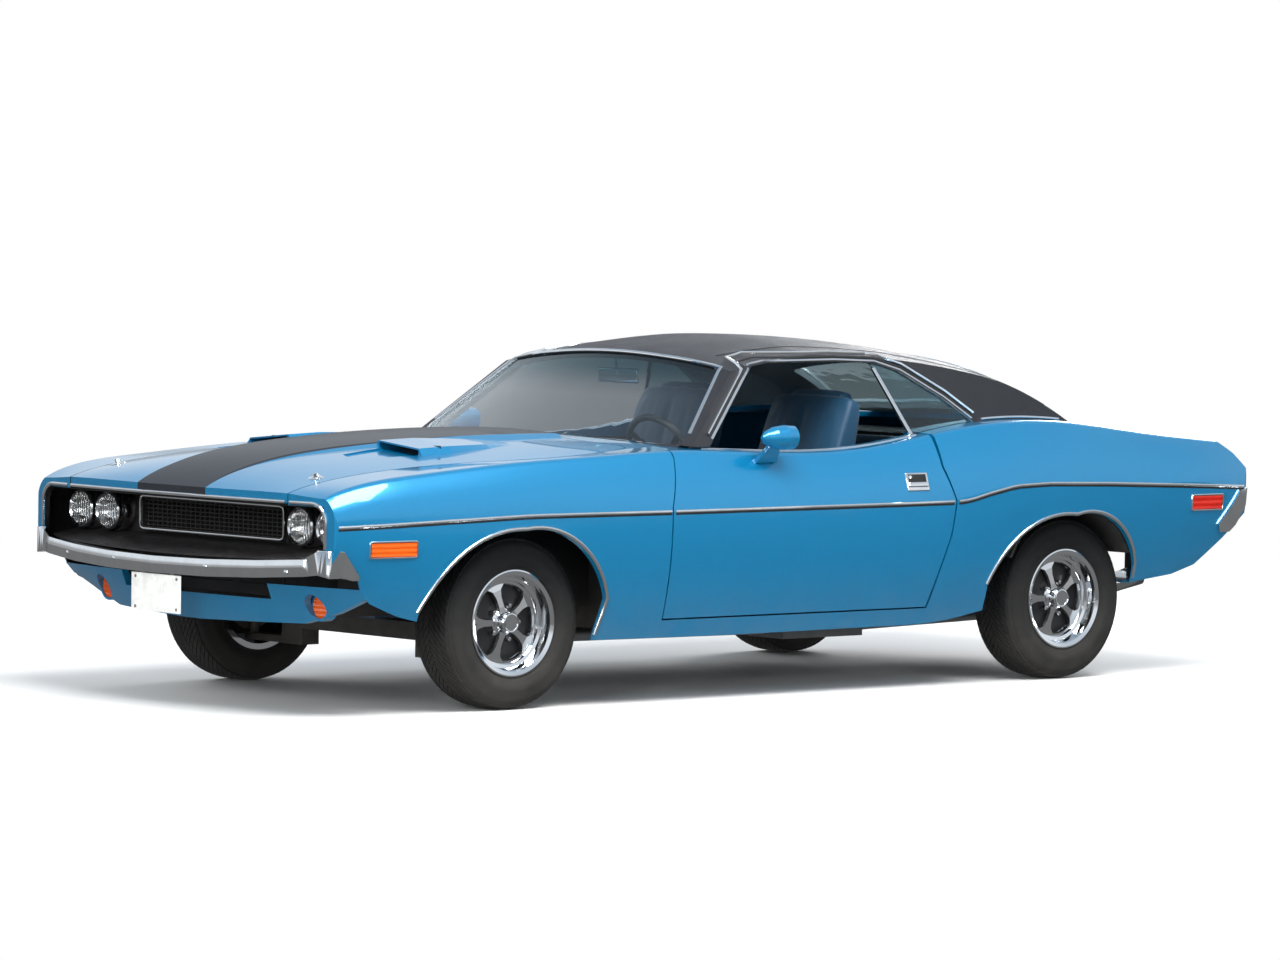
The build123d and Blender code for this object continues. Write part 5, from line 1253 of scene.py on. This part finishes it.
def floored(shader, at):
    """Pale floor that melts into the background far from the car."""
    nodes = shader.id_data.nodes
    feed(shader, {"Roughness": 0.65, "Base Color": rgba(bpy.context.scene.car_studio.floor)})
    path = nodes.new("ShaderNodeLightPath").outputs
    strength = maths("MULTIPLY_ADD", path["Is Diffuse Ray"], -0.6, 1.0)
    glow = put("ShaderNodeEmission", {"Color": rgba(BACKDROP), "Strength": strength})
    distance = put("ShaderNodeVectorMath", {0: at["Object"]}, operation="LENGTH").outputs["Value"]
    dim = nodes.new("ShaderNodeEmission")
    feed(dim, {"Color": rgba(MIRRORED_FLOOR), "Strength": 1.0})
    seen = blended(path["Is Glossy Ray"], blended(band(distance, *FLOOR_FADE), shader, glow), dim)
    feed(nodes["Material Output"], {"Surface": seen.outputs[0]})


def set_world():
    """Even light, and a pale background for camera, metal and glass."""
    world = bpy.data.worlds.new("studio")
    world.use_nodes = True
    bpy.context.scene.world = world
    nodes = world.node_tree.nodes
    light = nodes["Background"]
    feed(light, {"Color": rgba(WORLD_COLOUR), "Strength": WORLD_STRENGTH})
    up = split(nodes.new("ShaderNodeTexCoord").outputs["Generated"])[2]
    low = mixed(band(up, *HORIZON_RISE), rgba(MIRRORED_HORIZON), rgba(MIRRORED_LOW_SKY))
    sky = mixed(band(up, *SKY_RISE), low, rgba(MIRRORED_HIGH_SKY))
    path = nodes.new("ShaderNodeLightPath").outputs
    seen_sky = mixed(path["Is Glossy Ray"], rgba(BACKDROP), sky)
    seen = put("ShaderNodeBackground", {"Color": seen_sky, "Strength": 1.0})
    direct = maths("MAXIMUM", path["Is Camera Ray"], path["Is Glossy Ray"])
    direct = maths("MAXIMUM", direct, path["Is Transmission Ray"])
    feed(nodes["World Output"], {"Surface": blended(direct, light, seen).outputs[0]})


def add_lamp(name, place, target, size, power, mirrored):
    """Soft rectangular lamp that points at a target."""
    lamp = bpy.data.lights.new(name, "AREA")
    lamp.shape = "RECTANGLE"
    lamp.size, lamp.size_y = size
    lamp.energy = power
    holder = bpy.data.objects.new(name, lamp)
    holder.location = place
    holder.rotation_euler = (Vector(target) - Vector(place)).to_track_quat("-Z", "Y").to_euler()
    holder.visible_glossy = mirrored
    bpy.context.scene.collection.objects.link(holder)


def add_camera():
    """Camera at the photograph's place."""
    forward = Vector((math.cos(CAMERA_YAW) * math.cos(CAMERA_PITCH),
                      math.sin(CAMERA_YAW) * math.cos(CAMERA_PITCH), math.sin(CAMERA_PITCH)))
    level = forward.cross(UP).normalized()
    upright = level.cross(forward)
    right = level * math.cos(CAMERA_ROLL) + upright * math.sin(CAMERA_ROLL)
    up = upright * math.cos(CAMERA_ROLL) - level * math.sin(CAMERA_ROLL)
    lens = bpy.data.cameras.new("camera")
    lens.sensor_width = 36.0
    lens.lens = CAMERA_LENS
    lens.clip_end = 500.0
    camera = bpy.data.objects.new("camera", lens)
    turn = Matrix((right, up, -forward)).transposed().to_4x4()
    camera.matrix_world = Matrix.Translation(CAMERA_PLACE) @ turn
    bpy.context.scene.collection.objects.link(camera)
    bpy.context.scene.camera = camera


def add_stage():
    """Floor, world, lamps and camera."""
    form = bmesh.new()
    bmesh.ops.create_circle(form, cap_ends=True, segments=96, radius=FLOOR_RADIUS)
    floor = new_object("floor", form, new_finish("floor", floored))
    set_world()
    key_power = bpy.context.scene.car_studio.key_power
    for name, place, target, size, share, mirrored in LAMPS:
        add_lamp(name, place, target, size, key_power * share, mirrored)
    add_camera()


def add_finishes():
    """Materials of the CAD nodes that stay as they are."""
    finishes = {node: finish for finish, nodes in NODE_FINISHES.items() for node in nodes.split()}
    for node in NODES:
        plain = node.removesuffix("_left").removesuffix("_right")
        if plain in finishes:
            dress_node(node, finish_of(finishes[plain]))
    for wheel, axle, side, track in WHEELS:
        name = f"wheel_{wheel}"
        dress_node(name, new_finish(name + "_chrome", spoked, axle, side, track))


# Operators

def operator(builder):
    """Operator class that runs one builder, with its name and note."""
    name = builder.__name__.removeprefix("add_")

    def execute(self, context):
        builder()
        return {"FINISHED"}

    return type("CAR_OT_" + name, (bpy.types.Operator,),
                {"bl_idname": "car." + name, "bl_label": name.replace("_", " ").capitalize(),
                 "__doc__": builder.__doc__, "bl_options": {"REGISTER", "UNDO"}, "execute": execute})


STEPS = tuple(operator(builder) for builder in (
    add_stage, add_finishes, add_side_mouldings, add_arch_lips, add_nose_moulding, add_headlamps,
    add_front_trim, add_bumper_face, add_tail_trim, add_hood_dress, add_window_trim, add_top_seams,
    add_door_hardware, add_seats, add_cabin_trim, add_engine_dress, add_wheel_trim, add_antenna, add_tyres))


class CAR_PT_panel(bpy.types.Panel):
    """Lists the steps and choices in the sidebar."""
    bl_label = "Hardtop muscle car"
    bl_space_type = "VIEW_3D"
    bl_region_type = "UI"
    bl_category = "Car"

    def draw(self, context):
        for group in (context.scene.car_colours, context.scene.car_trim, context.scene.car_studio):
            for name in group.__annotations__:
                self.layout.prop(group, name)
        for step in STEPS:
            self.layout.operator(step.bl_idname)


CLASSES = (CarColours, CarTrim, CarStudio, *STEPS, CAR_PT_panel)


def register():
    """Registers the classes and hangs the choices on the scene."""
    for item in CLASSES:
        bpy.utils.register_class(item)
    bpy.types.Scene.car_colours = PointerProperty(type=CarColours)
    bpy.types.Scene.car_trim = PointerProperty(type=CarTrim)
    bpy.types.Scene.car_studio = PointerProperty(type=CarStudio)


def unregister():
    """Takes the choices and the classes away."""
    del bpy.types.Scene.car_studio, bpy.types.Scene.car_trim, bpy.types.Scene.car_colours
    for item in reversed(CLASSES):
        bpy.utils.unregister_class(item)


def main():
    """Builds everything and writes the sizes."""
    register()
    bpy.context.scene.view_settings.view_transform = "Standard"
    for step in STEPS:
        getattr(bpy.ops.car, step.bl_idname.split(".")[1])()


if __name__ == "__main__":
    main()
